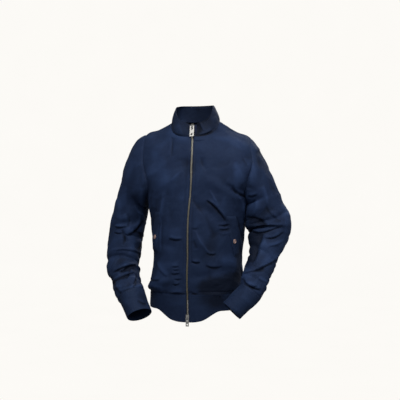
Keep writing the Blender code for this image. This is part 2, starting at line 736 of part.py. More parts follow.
def make_tapes():
    """The two tapes lie behind the fronts, the band and the collar, parallel to their first columns."""
    collar_rows, collar_out = collar_grid()
    for side in ("left", "right"):
        edge = [0, 1] if side == "left" else [-1, -2]
        levels = np.concatenate([band_levels()[:-1], body_levels()])
        turns = front_turns(side, levels)[:, :2]
        level = np.repeat(levels[:, None], 2, axis=1)
        grid = np.concatenate([torso(level, turns), collar_rows[1:, edge]])
        out = np.concatenate([normals(torso, level, turns), collar_out[1:, edge]])
        corner = len(levels) - 1
        out[corner] = collar_out[0, edge]
        across = grid[:, 1] - grid[:, 0]
        step = np.linalg.norm(across, axis=-1, keepdims=True)
        points, facing = [], []
        for distance in (TAPE_FROM, TAPE_TO):
            share = (distance - FRONT_EDGE) / step
            facing.append(unit(out[:, 0] * (1 - share) + out[:, 1] * share))
            points.append(grid[:, 0] + across * share + facing[-1] * TAPE_DEPTH)
        points, facing = np.stack(points, axis=1), np.stack(facing, axis=1)
        wall(f"zip_tape_{side}", points, facing, TAPE_NAVY, thick=TAPE_WALL)


def make_chain():
    line, _, out, run = zip_line(CHAIN_POINTS)
    keep = (run > SLIDER_FROM_END["bottom"] + CHAIN_STOP) & (
        run < run[-1] - SLIDER_FROM_END["top"] - CHAIN_STOP
    )
    middle = line[keep] + out[keep] * CHAIN_DEPTH
    sides = np.array([-CHAIN_WIDTH / 2, CHAIN_WIDTH / 2])
    grid = middle[:, None] + np.array([1.0, 0.0, 0.0]) * sides[None, :, None]
    lean = np.repeat(out[keep][:, None], 2, axis=1)
    wall("zip_chain", grid, lean, BRASS, thick=CHAIN_WALL)


def block(x0, x1, y0, y1, z0, z1):
    points = [(x, y, z) for z in (z0, z1) for y in (y0, y1) for x in (x0, x1)]
    faces = [(0, 2, 3, 1), (4, 5, 7, 6), (0, 1, 5, 4), (2, 6, 7, 3), (0, 4, 6, 2), (1, 3, 7, 5)]
    return points, faces


def cut_or_join(target, tool_points, tool_faces, operation):
    """Cuts a solid from an object, or joins it on, and keeps the result as a plain mesh."""
    tool = add_object("tool", tool_points, tool_faces, NICKEL)
    step = target.modifiers.new("cut", "BOOLEAN")
    step.operation = operation
    step.object = tool
    graph = bpy.context.evaluated_depsgraph_get()
    made = bpy.data.meshes.new_from_object(target.evaluated_get(graph))
    target.modifiers.clear()
    target.data = made
    bpy.data.objects.remove(tool, do_unlink=True)


def make_slider(end):
    """A slider with its bridge, and the pull on the bridge. Their origin is the bridge's hinge."""
    line, tangent, out, run = zip_line(SLIDER_POINTS)
    middle = SLIDER_LENGTH / 2 + SLIDER_FROM_END[end]
    distance = run[-1] - middle if end == "top" else middle
    i = int(np.argmin(np.abs(run - distance)))
    at, up, facing = line[i], tangent[i], out[i]
    half, tall = SLIDER_WIDTH / 2, SLIDER_LENGTH / 2
    away = 1 if end == "top" else -1  # towards the slider's nose, past the chain's end
    plate_top = FRONT_PLATE + PLATE_WALL
    body = add_object(
        f"slider_{end}", *block(-half, half, -tall, tall, FRONT_PLATE, plate_top), NICKEL
    )
    cut_or_join(
        body, *block(-half, half, -tall, tall, BACK_PLATE - PLATE_WALL, BACK_PLATE), "UNION"
    )
    post = sorted((away * tall, away * (tall - POST_LENGTH)))
    span = (BACK_PLATE - BRIDGE_SINK, FRONT_PLATE + BRIDGE_SINK)
    cut_or_join(body, *block(-POST_WIDTH / 2, POST_WIDTH / 2, *post, *span), "UNION")
    w, s, h = BRIDGE_WIDTH / 2, BRIDGE_SPAN / 2, plate_top + BRIDGE_HOLE
    foot = plate_top - BRIDGE_SINK
    bridge = add_object("bridge", *block(-w, w, -s, s, foot, h + BRIDGE_WALL), NICKEL)
    hole = s - BRIDGE_WALL
    cut_or_join(bridge, *block(-2 * w, 2 * w, -hole, hole, foot - BRIDGE_SINK, h), "DIFFERENCE")
    points = [tuple(v.co) for v in bridge.data.vertices]
    faces = [tuple(p.vertices) for p in bridge.data.polygons]
    bpy.data.objects.remove(bridge, do_unlink=True)
    cut_or_join(body, points, faces, "UNION")
    hinge = plate_top + BRIDGE_HOLE / 2
    body.data.vertices.foreach_set(
        "co", (np.array([v.co for v in body.data.vertices]) - [0, 0, hinge]).ravel()
    )
    place = at + facing * hinge
    stand(body, place, facing, up)

    pull_size = Pull(*PULLS[end])
    top, low = PULL_BAR / 2, PULL_BAR / 2 - pull_size.length
    wide, thick = pull_size.width / 2, PULL_WALL / 2
    pull = add_object(f"pull_{end}", *block(-wide, wide, low, top, -thick, thick), NICKEL)
    slot = PULL_SLOT_WIDTH / 2
    cut_or_join(
        pull, *block(-slot, slot, -top - pull_size.slot, -top, -PULL_WALL, PULL_WALL), "DIFFERENCE"
    )
    radius = pull_size.hole_radius
    points, faces = turned_disc(((radius, -PULL_WALL), (radius, PULL_WALL)), HOLE_SIDES)
    centre = low + PULL_HOLE_FROM_END * radius
    points = [(a, b + centre, c) for a, b, c in points]
    cut_or_join(pull, points, faces, "DIFFERENCE")
    stand(pull, place, facing, up)


def build():
    clear_scene()
    make_back()
    for side in ("left", "right"):
        make_front(side)
        make_sleeve(side)
        make_pocket(side)
    make_bands()
    make_collar()
    make_tapes()
    make_chain()
    for end in ("top", "bottom"):
        make_slider(end)


build()
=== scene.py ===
# %% [markdown]
# # A bomber jacket, filled out as it is worn
#
# The real jacket is cut from thin navy cotton cloth: two fronts, a back, two set-in sleeves with long
# cuffs, a stand collar and a hem band, closed by a two-way metal zip. Blender could drape flat pattern
# pieces with its cloth simulation, but the folds would then fall where the solver likes. Here each piece
# is a fine grid of points on the jacket's own form, and the folds are laid in one by one, so that they sit
# where the eye expects them: dragging from the armpits, buckling at the elbows, blousing over the hem.

# %% Load the frame
import math
from collections import namedtuple

import bmesh
import bpy
import numpy as np
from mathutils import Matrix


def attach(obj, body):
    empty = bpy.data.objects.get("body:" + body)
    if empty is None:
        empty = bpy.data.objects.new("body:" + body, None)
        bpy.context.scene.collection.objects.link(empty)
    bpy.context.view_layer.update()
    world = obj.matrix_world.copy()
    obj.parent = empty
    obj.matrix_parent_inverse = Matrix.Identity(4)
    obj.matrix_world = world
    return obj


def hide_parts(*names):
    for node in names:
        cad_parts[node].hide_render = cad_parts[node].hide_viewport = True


SIGN = {"left": 1, "right": -1}  # of x on the wearer's left and right
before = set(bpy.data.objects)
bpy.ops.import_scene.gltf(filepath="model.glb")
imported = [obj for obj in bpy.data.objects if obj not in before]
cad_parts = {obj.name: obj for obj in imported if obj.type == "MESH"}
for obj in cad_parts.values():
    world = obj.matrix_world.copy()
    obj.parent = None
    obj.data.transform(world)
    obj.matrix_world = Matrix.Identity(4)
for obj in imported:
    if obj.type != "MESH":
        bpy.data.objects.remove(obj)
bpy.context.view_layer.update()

# %% [markdown]
# ## Camera
#
# The camera comes first, because the creases on the front are placed by the point of the picture where
# they show. `in_photo` gives that point for any place on the jacket, in pixels of a 400 by 400 picture.

# %% Camera
PHOTO_PX = 400
FOCAL_PX = 788.0
SENSOR_MM = 36.0
CAMERA_TURN = math.radians(14.0)  # round the jacket from straight in front
CAMERA_DISTANCE = 2.6
AIM_RIGHT = 0.0145
AIM_Z = -0.255

RIGHT = np.array([math.cos(CAMERA_TURN), math.sin(CAMERA_TURN), 0.0])
AHEAD = np.array([-math.sin(CAMERA_TURN), math.cos(CAMERA_TURN), 0.0])
EYE = RIGHT * AIM_RIGHT + np.array([0.0, 0.0, AIM_Z]) - AHEAD * CAMERA_DISTANCE


def new_object(name, data):
    """Puts an object in the scene."""
    made = bpy.data.objects.new(name, data)
    bpy.context.scene.collection.objects.link(made)
    return made


camera = new_object("camera", bpy.data.cameras.new("camera"))
camera.data.sensor_width = SENSOR_MM
camera.data.lens = FOCAL_PX * SENSOR_MM / PHOTO_PX
camera.location = EYE
camera.rotation_euler = (math.radians(90), 0.0, CAMERA_TURN)
bpy.context.scene.camera = camera


def in_photo(points):
    """Where points show in the picture, in pixels from its top left corner."""
    away = points - EYE
    depth = away @ AHEAD
    u = PHOTO_PX / 2 + FOCAL_PX * (away @ RIGHT) / depth
    v = PHOTO_PX / 2 - FOCAL_PX * away[..., 2] / depth
    return u, v


PIXEL = CAMERA_DISTANCE / FOCAL_PX  # metres that a pixel spans at the jacket
print(f"lens {camera.data.lens:.1f} mm, {PIXEL * 1000:.2f} mm a pixel")

# %% [markdown]
# ## The form
#
# A worn jacket is close to a stack of rounded rings for the torso and collar, and a row of rings along
# each arm. A smooth curve runs through a short table of ring sizes, so any height can be read from it.
# A place on the torso is a level, counted in rows of the table, and a turn: 0 in front, 90 at the
# wearer's left, 180 behind.

# %% Rings of the torso and the collar
Section = namedtuple(
    "Section",
    "front_z side_z back_z half_width front_depth back_depth squareness centre_x centre_y"
    " front_shift tilt",
)
TORSO = (
    (-0.605, -0.605, -0.603, 0.157, 0.138, 0.112, 2.3, 0.004, 0.02, 0, 0),  # hem
    (-0.553, -0.553, -0.552, 0.155, 0.141, 0.112, 2.3, 0.004, 0.02, 0, 0),  # band seam
    (-0.536, -0.536, -0.534, 0.158, 0.1445, 0.116, 2.3, 0.004, 0.02, 0, 0),
    (-0.49, -0.49, -0.488, 0.149, 0.147, 0.112, 2.3, 0.004, 0.02, 0, 0),
    (-0.44, -0.44, -0.438, 0.144, 0.147, 0.102, 2.3, 0.006, 0.02, 0, 0),
    (-0.387, -0.387, -0.385, 0.149, 0.147, 0.098, 2.3, 0.006, 0.02, 0, 0),  # waist
    (-0.333, -0.333, -0.331, 0.155, 0.144, 0.102, 2.3, 0.005, 0.02, 0.001, 0),
    (-0.282, -0.28, -0.28, 0.162, 0.139, 0.11, 2.4, 0.005, 0.02, 0.003, 0),
    (-0.24, -0.23, -0.228, 0.174, 0.133, 0.114, 2.5, 0.006, 0.02, 0.005, 0.01),
    (-0.195, -0.175, -0.17, 0.192, 0.13, 0.115, 2.6, 0.006, 0.02, 0.007, 0.02),  # chest
    (-0.152, -0.115, -0.11, 0.203, 0.122, 0.115, 2.6, 0.004, 0.02, 0.008, 0.04),
    (-0.108, -0.045, -0.055, 0.177, 0.112, 0.106, 2.4, 0.003, 0.018, 0.009, 0.05),  # shoulder tips
    (-0.078, -0.026, -0.02, 0.13, 0.093, 0.092, 2.2, 0.001, 0.01, 0.009, 0.04),
    (-0.052, 0, 0.008, 0.081, 0.073, 0.072, 2.1, -0.001, 0, 0.009, 0),  # neckline
)
COLLAR = (
    (-0.052, 0, 0.008, 0.081, 0.073, 0.072, 2.1, -0.001, 0, 0.009, 0),
    (-0.034, 0.018, 0.028, 0.0765, 0.07, 0.07, 2.2, -0.002, 0, 0.009, 0),
    (-0.017, 0.036, 0.046, 0.0695, 0.064, 0.067, 2.3, -0.003, 0, 0.009, 0),
    (-0.001, 0.053, 0.062, 0.0615, 0.058, 0.063, 2.5, -0.003, 0, 0.009, 0),
)
FRONT_SWEEP, BACK_SWEEP = 1.4, 1.8  # how steeply a ring rises from front to side, and on to the back
HEM_DROP, HEM_DROP_WITHIN, HEM_DROP_ENDS = 0.029, 0.046, 0.108
BAND_SEAM, ARMPIT, SHOULDER, NECK = 1.0, 7.5, 11.0, 13.0  # levels
COLLAR_TOP = len(COLLAR) - 1.0
ARMHOLE_FRONT = {"left": 28.0, "right": 42.0}  # degrees that the armhole cuts in from the side
ARMHOLE_BACK = 30.0
NEAR_TURN, NEAR_LEVEL = 1.5, 0.06  # of the neighbours that a normal is taken from


def unit(v):
    return v / np.maximum(np.linalg.norm(v, axis=-1, keepdims=True), 1e-12)


def ease(f):
    """From 0 to 1 with a soft start and end."""
    return f * f * (3 - 2 * f)


def glide(f, start, leave, end, arrive):
    """A smooth way from start to end that leaves and arrives along given steps."""
    return (
        start * (2 * f**3 - 3 * f**2 + 1)
        + leave * (f**3 - 2 * f**2 + f)
        + end * (3 * f**2 - 2 * f**3)
        + arrive * (f**3 - f**2)
    )


def along(table, place):
    """A smooth curve through the rows of a table, read at a place counted in rows."""
    table = np.asarray(table, float)
    place = np.clip(np.asarray(place, float), 0, len(table) - 1)
    i = np.minimum(place.astype(int), len(table) - 2)
    padded = np.vstack([2 * table[0] - table[1], table, 2 * table[-1] - table[-2]])
    before, here, there, after = (padded[i + k] for k in range(4))
    return glide((place - i)[..., None], here, (there - before) / 2, there, (after - here) / 2)


def ring_point(table, level, turn):
    """A point of a stack of rounded rings."""
    row = Section(*np.moveaxis(along(table, level), -1, 0))
    s, c = np.sin(np.radians(turn)), np.cos(np.radians(turn))
    flat = np.abs(c)
    power = 2 / row.squareness
    x = row.centre_x + row.half_width * np.sign(s) * np.abs(s) ** power
    x = x + row.front_shift * np.maximum(c, 0)
    y = row.centre_y + np.where(c > 0, -row.front_depth, row.back_depth) * flat**power
    z_front = row.front_z + (row.side_z - row.front_z) * (1 - flat) ** FRONT_SWEEP
    z_back = row.side_z + (row.back_z - row.side_z) * (1 - (1 - flat) ** BACK_SWEEP)
    return np.stack([x, y, np.where(c > 0, z_front, z_back) - row.tilt * x], -1)


def normals(surface, level, turn):
    """Outward normals of a surface of level and turn."""
    across = surface(level, turn + NEAR_TURN) - surface(level, turn - NEAR_TURN)
    up = surface(level + NEAR_LEVEL, turn) - surface(level - NEAR_LEVEL, turn)
    return unit(np.cross(across, up))


def torso_plain(level, turn):
    """The torso without folds. In front its hem drops below the sides."""
    place = ring_point(TORSO, level, turn)
    off = np.clip((np.abs(place[..., 0]) - HEM_DROP_WITHIN) / (HEM_DROP_ENDS - HEM_DROP_WITHIN), 0, 1)
    drop = (1 - ease(off)) * (np.cos(np.radians(turn)) > 0)
    place[..., 2] -= HEM_DROP * drop * np.clip(1 - np.asarray(level) / BAND_SEAM, 0, 1)
    return place


def collar(level, turn):
    return ring_point(COLLAR, level, turn)


print("torso", len(TORSO), "rings, collar", len(COLLAR), "rings")

# %% [markdown]
# ## The largest folds
#
# The solids under this scene already carry the largest folds, so the fine shells repeat them. Each is a
# soft hill or valley of the cloth: a place, a slope, and its half length, half width and height.

# %% Large folds of the torso
TorsoFold = namedtuple("TorsoFold", "x z slope_deg half_length half_width height")
TORSO_FOLDS = {
    "front": (
        (0.15, -0.222, -24, 0.04, 0.012, -0.006),
        (0.105, -0.215, -32, 0.05, 0.016, 0.004),
        (0.085, -0.305, -42, 0.055, 0.013, -0.005),
        (0.045, -0.395, -58, 0.04, 0.015, 0.0035),
        (-0.085, -0.12, -62, 0.05, 0.02, 0.0035),
        (-0.118, -0.29, 80, 0.06, 0.012, -0.005),
        (-0.06, -0.4, -10, 0.035, 0.016, -0.004),
        (-0.075, -0.515, 8, 0.06, 0.012, 0.0045),
        (0.07, -0.49, 12, 0.07, 0.016, -0.0045),
    ),
    "back": (
        (0, -0.1, 0, 0.09, 0.018, -0.0035),
        (0.11, -0.215, 35, 0.05, 0.014, -0.006),
        (-0.11, -0.215, -35, 0.05, 0.014, -0.006),
        (0.05, -0.42, 14, 0.08, 0.016, -0.005),
        (-0.06, -0.47, -10, 0.08, 0.016, 0.005),
        (0.03, -0.515, 4, 0.09, 0.012, -0.004),
    ),
}
BACK_TALLER, ARMS_TALLER = 1.5, 1.3  # of the smaller creases on the hidden sides
BACK_CREASES = {  # which only the fine shell carries
    "back": (
        (0.118, -0.185, 52, 0.045, 0.007, -0.003),
        (0.095, -0.245, 30, 0.05, 0.008, 0.0028),
        (0.125, -0.262, 22, 0.032, 0.006, -0.0026),
        (-0.122, -0.18, -50, 0.042, 0.007, -0.003),
        (-0.09, -0.24, -33, 0.055, 0.008, 0.0026),
        (-0.125, -0.27, -18, 0.03, 0.006, -0.0026),
        (0.01, -0.135, 4, 0.06, 0.009, 0.0018),
        (0.04, -0.335, -28, 0.05, 0.008, -0.0022),
        (-0.045, -0.35, 24, 0.06, 0.008, -0.0024),
        (-0.03, -0.405, 10, 0.05, 0.007, 0.0022),
        (0.085, -0.385, 24, 0.045, 0.008, 0.0024),
        (-0.095, -0.425, -16, 0.04, 0.007, -0.0026),
        (0, -0.455, -6, 0.055, 0.007, -0.0024),
        (0.095, -0.47, 18, 0.045, 0.008, -0.0026),
        (-0.02, -0.497, 8, 0.05, 0.006, 0.0022),
        (-0.09, -0.512, -6, 0.035, 0.006, -0.0022),
        (0.105, -0.52, 10, 0.03, 0.005, 0.0018),
    )
}


def fold_rise(folds, place, out):
    """How far folds of the torso raise places on it."""
    rise = np.zeros(place.shape[:-1])
    for face, rows in folds.items():
        lies = np.clip(0.5 + (-1 if face == "front" else 1) * out[..., 1], 0, 1)
        for fold in map(TorsoFold._make, rows):
            dx, dz = place[..., 0] - fold.x, place[..., 2] - fold.z
            a = math.radians(fold.slope_deg)
            length = (dx * math.cos(a) + dz * math.sin(a)) / fold.half_length
            width = (dz * math.cos(a) - dx * math.sin(a)) / fold.half_width
            rise += fold.height * lies * np.exp(-(length**2) - width**2)
    return rise


def torso(level, turn):
    """The torso's surface with its largest folds."""
    plain = torso_plain(level, turn)
    out = normals(torso_plain, level, turn)
    return plain + out * fold_rise(TORSO_FOLDS, plain, out)[..., None]


print(sum(map(len, TORSO_FOLDS.values())), "large folds,", len(BACK_CREASES["back"]), "on the back alone")

# %% [markdown]
# ## Creases that show in the picture
#
# A crease is drawn like a pencil stroke: a curve through three points of the picture, with a real width
# and two heights. `bell` raises or sinks its line. `step` makes one side stand over the other, as a fold
# that topples does: a stroke from left to right with a step below 0 turns its cloth to face down, which
# reads as a dark line under soft light from above. Along the line of a fold that stands over or sinks,
# shade is painted into the colour, as though it were pinched shut where no light gets in. A broad stroke
# on the torso paints its shade and light into the colour and is flattened in height. A stroke touches
# only the piece it is listed under.

# %% Creases
Stroke = namedtuple("Stroke", "u0 v0 u1 v1 u2 v2 width_mm bell_mm step_mm")
STROKES = {}
STROKES["front_left"] = (
    (232.5, 187.4, 238.5, 192.4, 247.5, 196, 5.6, -1.6, -3.6),
    (240.5, 199, 242, 210, 242.8, 222, 5, -1.6, 0),
    (243.5, 158.5, 245.5, 162.5, 247.5, 167, 4, -0.8, -1.6),
    (193.5, 140.4, 199, 140.7, 205, 140, 3.2, -0.4, -1.4),
    (191, 198, 196, 206, 203, 216, 8, -1.4, 0.8),
    (226, 181, 233, 185, 240, 188, 9, 2.5, 0),
    (239, 168, 235, 200, 237.5, 232, 20, 3.6, 0),
    (233, 162, 238, 174, 241, 187, 16, 3.4, 0),
    (206.5, 200, 216, 207.5, 226.5, 221, 4.6, -1.2, -3.2),
    (210.5, 190.5, 214.5, 198, 219.5, 206.5, 4.5, 1.6, 0.8),
    (218.5, 224.5, 223.5, 225.2, 229, 223.8, 3.2, -0.4, -1.9),
    (219.5, 228.6, 224, 229.4, 229.5, 228.2, 3.2, -0.4, -1.9),
    (218.5, 232.6, 224.5, 234.3, 231, 232.6, 4, 1.3, -0.5),
    (238, 190.5, 241, 200, 243, 212, 4, 1.8, 0.8),
    (195.5, 230.5, 203.2, 244.8, 211, 254.5, 4, 1.8, 1.2),
    (193.6, 240, 195.2, 244.5, 196.4, 249.5, 6, -2.2, 0),
    (207, 252.5, 211.5, 254.5, 216, 253.5, 4, -1, -1.6),
    (191.5, 260.9, 195.5, 262.3, 200, 262, 3.6, -0.8, -2.8),
    (217, 259.5, 226, 262, 235, 257, 13, 2, 0),
    (206, 265, 213, 267.4, 222, 266.2, 4.6, -0.6, -1.8),
    (236, 262, 234.5, 279, 233, 296, 26, -3.6, 0),
    (210, 234, 214, 256, 207, 281, 30, -3, 0),
    (213, 284.5, 218, 284.9, 223, 284, 3.4, -0.2, -0.6),
    (191.5, 293.2, 194.5, 293.4, 198, 294.4, 3.4, -0.8, -2.6),
    (190, 277, 221, 275, 250, 268, 42, 0, -2.4),
    (192, 284, 212, 290, 234, 285, 30, -3, 0),
    (194.8, 150, 191.8, 215, 190.8, 292, 5, -1.4, 0),
    (237.6, 217, 240.6, 231, 243.6, 246, 3.6, -3.2, 0),
    (200.5, 157, 201.5, 164, 206, 171, 7, -1.2, 0.8),
    (205, 214, 209, 226, 216, 238, 9, -1.6, 0),
    (232, 198, 233.5, 205, 233, 212, 4.5, -0.6, 0.6),
    (226, 150, 233, 158, 236, 170, 14, 2, 0),
    (191.8, 228, 194.8, 228.8, 198, 228.2, 3.5, -0.3, -1),
)
STROKES["band_front_left"] = (
    (194, 296, 212, 299.5, 232, 297, 24, -3.8, -0.4),
)
STROKES["front_right"] = (
    (150, 148, 157, 156, 166, 166, 20, 2.6, 0),
    (157, 156, 163, 170, 168, 186, 24, 1.8, 0),
    (182, 170, 176.5, 175, 170.5, 181, 5.5, 1.3, -0.9),
    (163.5, 192, 161, 207, 160, 224, 5, 1.6, -0.9),
    (152.5, 190, 150.5, 203, 152.5, 217, 4.5, -0.5, 1),
    (150, 184, 150, 200, 151, 218, 16, 3, 0),
    (160, 200, 160, 228, 160, 256, 18, 1.8, 0),
    (169.5, 238, 175.5, 239.6, 181.5, 239, 5, -1, -2.6),
    (168, 205, 171.5, 218, 170, 231, 10, -1.3, 0),
    (148, 285.8, 154, 286.4, 163, 287.6, 8, 3.6, 0),
    (149, 279, 154.5, 280.5, 160, 280, 4, -1.8, -1.2),
    (168, 294.8, 176, 292.6, 185, 294.4, 3.6, -1, -3.2),
    (160.3, 291.2, 162.8, 293.6, 165.6, 296.3, 3.4, -0.6, -2),
    (188, 150, 184.2, 215, 183, 292, 5, -0.9, 0),
    (172.5, 266.2, 175.5, 266.6, 178.5, 266.2, 2.8, -0.2, -1.5),
    (173.5, 269.8, 176.2, 270, 179, 269.4, 2.8, -0.2, -1.5),
    (171.5, 273.6, 175.5, 273.8, 179.5, 273, 3, -0.3, -1.8),
    (174.5, 279.2, 177.5, 279.4, 180.8, 278.8, 3, -0.3, -1.8),
    (173, 283.8, 176, 284.4, 179.5, 283.6, 3.2, -0.4, -2),
    (147.6, 184, 147.9, 194, 148.8, 206, 4, -0.3, 0.6),
    (161.3, 217, 161.7, 235, 161.5, 253, 3.4, -0.5, 1.6),
    (157.5, 262, 161, 270, 168, 277, 7, 1.3, -1.2),
    (171.6, 137.5, 171.6, 146, 170.4, 157, 4.6, -1.2, 1.6),
    (176.5, 184, 173, 192, 172, 202, 8, 1.3, 0),
)
STROKES["collar"] = (
    (199.9, 121.5, 201.6, 127, 204.6, 131.5, 3.6, 1.8, -1),
    (197, 122.5, 197.6, 129, 198.2, 136, 9, -3.4, 0),
    (171.4, 122, 171.6, 130, 171.8, 138, 4.6, -1.4, 1.8),
    (212.5, 117, 214.5, 123, 215.5, 129, 9, 1.4, 0),
    (194, 114, 195.5, 126, 197, 140, 18, -4.6, 0),
    (179, 124, 181.5, 129.5, 182.5, 135, 8, 1.1, 0.6),
    (194.5, 134.8, 203.5, 134.4, 213, 129.8, 4.6, -0.6, -3.8),
)
STROKES["sleeve_right"] = (
    (115, 226.6, 120.5, 227.4, 127, 226.2, 4, -0.8, -2.6),
    (126, 279.5, 129.6, 275, 130.4, 268.5, 3.6, -0.8, 2),
    (119.5, 271.8, 123.8, 269.6, 126.5, 265, 3.6, -0.6, -1.8),
    (116, 284.5, 118.2, 290, 123.5, 295, 4, -1.6, -1.2),
    (114.5, 232, 118.5, 233.2, 122.5, 232.4, 4, -0.6, -2.2),
    (121.5, 229.5, 123.5, 236.5, 126, 243, 5, -2.2, 1.2),
    (141.5, 219.5, 137, 228, 126.5, 235.5, 4, -0.8, 3.2),
    (137, 212.5, 141.5, 216.5, 141.8, 222, 4, 1.6, -1.2),
    (125.5, 233.5, 124.2, 239, 123, 245.5, 5.5, -2.4, 0.8),
    (126.5, 214, 128.8, 221, 127, 227.5, 4.5, -1.8, 1.5),
    (134.5, 205, 140, 219, 131, 228, 4.5, 2.3, 1),
    (133.5, 231.5, 139, 232.5, 144, 238.5, 8.5, -3.8, -1),
    (131, 222, 129, 231, 125.5, 236.5, 5, 2, 0.8),
    (112.5, 272.6, 122.8, 267.4, 137.4, 263.8, 4.6, -1.2, -3.8),
    (118.5, 271.5, 124, 269, 129.5, 265, 4.2, 1, -2.6),
    (112.6, 282.4, 121.5, 276.8, 134.5, 272.2, 4.4, -1.2, -3.8),
    (134.4, 274.2, 135.6, 279, 131.5, 285.5, 4.6, -1.5, 2.2),
    (119.5, 295, 128.5, 292, 136.5, 281.5, 4.8, -1.6, -3.4),
    (110.5, 276.5, 112.8, 281.5, 116.5, 286, 6, -3.2, -1),
    (114.5, 287.5, 121, 287.4, 128.5, 283.5, 6.5, 2.6, -1),
    (112, 272.4, 119, 273.6, 127, 272.2, 5, 2.4, 0),
    (138, 184, 142, 195, 144.5, 207, 13, -0.8, 0),
    (141.5, 188, 142, 210, 141.5, 233, 10, 4.2, 0),
    (119, 228, 121, 262, 128, 300, 15, -2.4, 0),
    (112, 274.5, 124, 270.5, 138, 266, 15, -4, 0),
    (114, 289, 126, 285.5, 142, 282.5, 13, -3, 0),
    (139.5, 258.5, 137, 262, 134, 264.5, 5, 1.8, 0),
    (143.5, 241, 140.5, 246, 137.5, 252, 6, -2.2, 0.8),
    (118.5, 199, 120.5, 209, 118, 219, 9, 1.8, 0.8),
    (128.5, 186, 126.5, 197, 128, 208, 9, -0.6, 0.8),
    (126, 156, 123, 168, 121, 180, 13, 1.6, 0),
    (135, 240.5, 132, 249, 128, 257, 9, 1.8, 0),
    (144, 165.5, 145.2, 172, 145.8, 180, 4.5, -2.4, 1),
    (139, 166, 140, 175, 140.5, 187, 9, -1.9, 0),
    (119, 293.6, 129, 288.8, 143.5, 287.2, 4.2, 0.6, -3),
)
STROKES["sleeve_left"] = (
    (248.6, 188, 248.2, 203, 248.8, 220, 12, 5, 0),
    (249.6, 202, 249.2, 224, 250.6, 254, 17, 8.3, 0),
    (248.8, 253, 246.6, 261, 244.6, 268, 10, -4.5, 0),
    (254.5, 238, 255.5, 264, 250, 291, 12, -4.2, 0),
    (282, 204, 286, 228, 278, 252, 12, 3.8, 0),
    (262, 148, 272, 170, 280.5, 194, 22, -6, 0),
    (249, 216.4, 258, 218.6, 268, 225, 6, -1.2, -1.8),
    (266.5, 206, 273, 215.5, 282, 220.4, 6, -0.8, -1.3),
    (249, 226, 259, 232.4, 282, 225.2, 5.2, -1, -2.8),
    (255, 231.5, 265, 233.2, 277, 229.8, 7.5, 2.2, 0),
    (264, 237.4, 273.5, 237.4, 283, 231.4, 4.6, -0.8, -2.6),
    (254, 250.5, 259, 246.4, 266, 243.4, 7, 2.4, 0),
    (263.5, 234, 259.5, 249, 252, 264, 12, 0, -4.2),
    (281.5, 251, 269.5, 263.4, 244.5, 273.6, 4.4, -1, 2.6),
    (259, 262.5, 266, 259.6, 273, 255.2, 7, 1.6, 0),
    (243.8, 278.5, 248.5, 285.5, 257, 286.4, 4.8, -1.8, -3),
    (247, 283.5, 253, 287.6, 260.5, 289.4, 4.8, -1.8, -3.2),
    (258, 278, 262.5, 281, 267.5, 283.2, 5, 1.6, -1.2),
    (252, 272.5, 258.5, 273.8, 266, 271.2, 6, 1.4, 0),
    (255.5, 268.8, 259.5, 269.8, 264, 268.2, 4, -1.4, -1.4),
    (256.5, 198, 256, 207, 253.5, 215, 5, 1.8, -1),
    (248.5, 194.6, 252.5, 195.6, 257, 194, 4, -1.2, -2),
    (252, 139, 254, 155, 254, 171, 8, 1.8, 0),
    (250, 163, 250.5, 175, 250.5, 187, 10, 3, 0),
    (262, 266, 260, 277, 254, 289, 13, -2.2, 0),
    (257.5, 150, 260.5, 168, 260.5, 188, 10, -3, 0),
    (263.5, 185, 266.5, 196, 268.5, 206, 6.5, 2.4, 0.8),
    (248.5, 198, 249, 210, 251, 221, 11, -3.4, 0),
    (270, 196, 275.5, 205, 281.5, 213, 9, 1.6, 0),
    (249, 243, 253, 238, 257.5, 235.5, 5.5, -1.8, 0.8),
    (268, 246, 275, 245, 282.5, 240.5, 6, 1.6, -1.4),
)
STROKES["cuff_right"] = (
    (138, 299.6, 142, 302.2, 147, 303.6, 4.5, -1, -1.6),
    (122, 300, 127, 303.5, 131, 309, 9, 1.2, 0),
    (137, 289, 143, 296, 147, 307, 14, -2.5, 0),
)
STROKES["cuff_left"] = (
    (241, 296, 247, 301, 253, 308, 10, 1.3, 0),
)
STROKE_SAMPLES = 15
WIDER, TALLER = 1.25, 1.15  # of all strokes
STROKE_REACH = 4.0  # of its width, past which a stroke has died away
BELL_POWER = 1.5  # below 2 a ridge has a crisper crest than a bell curve
STEP_SHARP, STEP_FALL = 2.2, 0.9  # a step is steep at its line and dies away slowly on both sides
STEP_PEAK = 1.85  # makes its two sides as high as its step_mm says
TAPER, SOFT_TAPER = 0.5, 1.0  # powers by which a stroke thins out to its ends
BEHIND = 0.35  # how far round from the outline a stroke still reaches
# The pinched line of a stroke gets painted shade in the cloth's colour; these set its strength, width and
# pieces.
PINCH_FULL_MM, PINCH_WIDTH = 4.0, 0.60  # of a stroke whose line is pinched shut, and of that line
PINCHED = {"sleeve_right": 1.0, "sleeve_left": 0.7}  # the more crumpled pieces, and the others
TORSO_PINCH = 0.55
SHUT_MM, OPEN_MM = 6.0, 8.5  # widths up to which a stroke is pinched, and from which it lies open
WIDE_MM = 16.0  # from this width a stroke is broad: it has no tone on a sleeve, and soft ends elsewhere
TORSO_FLATTER = 0.6  # of a broad stroke on the torso, whose shade and light are painted into its colour more than made by its height
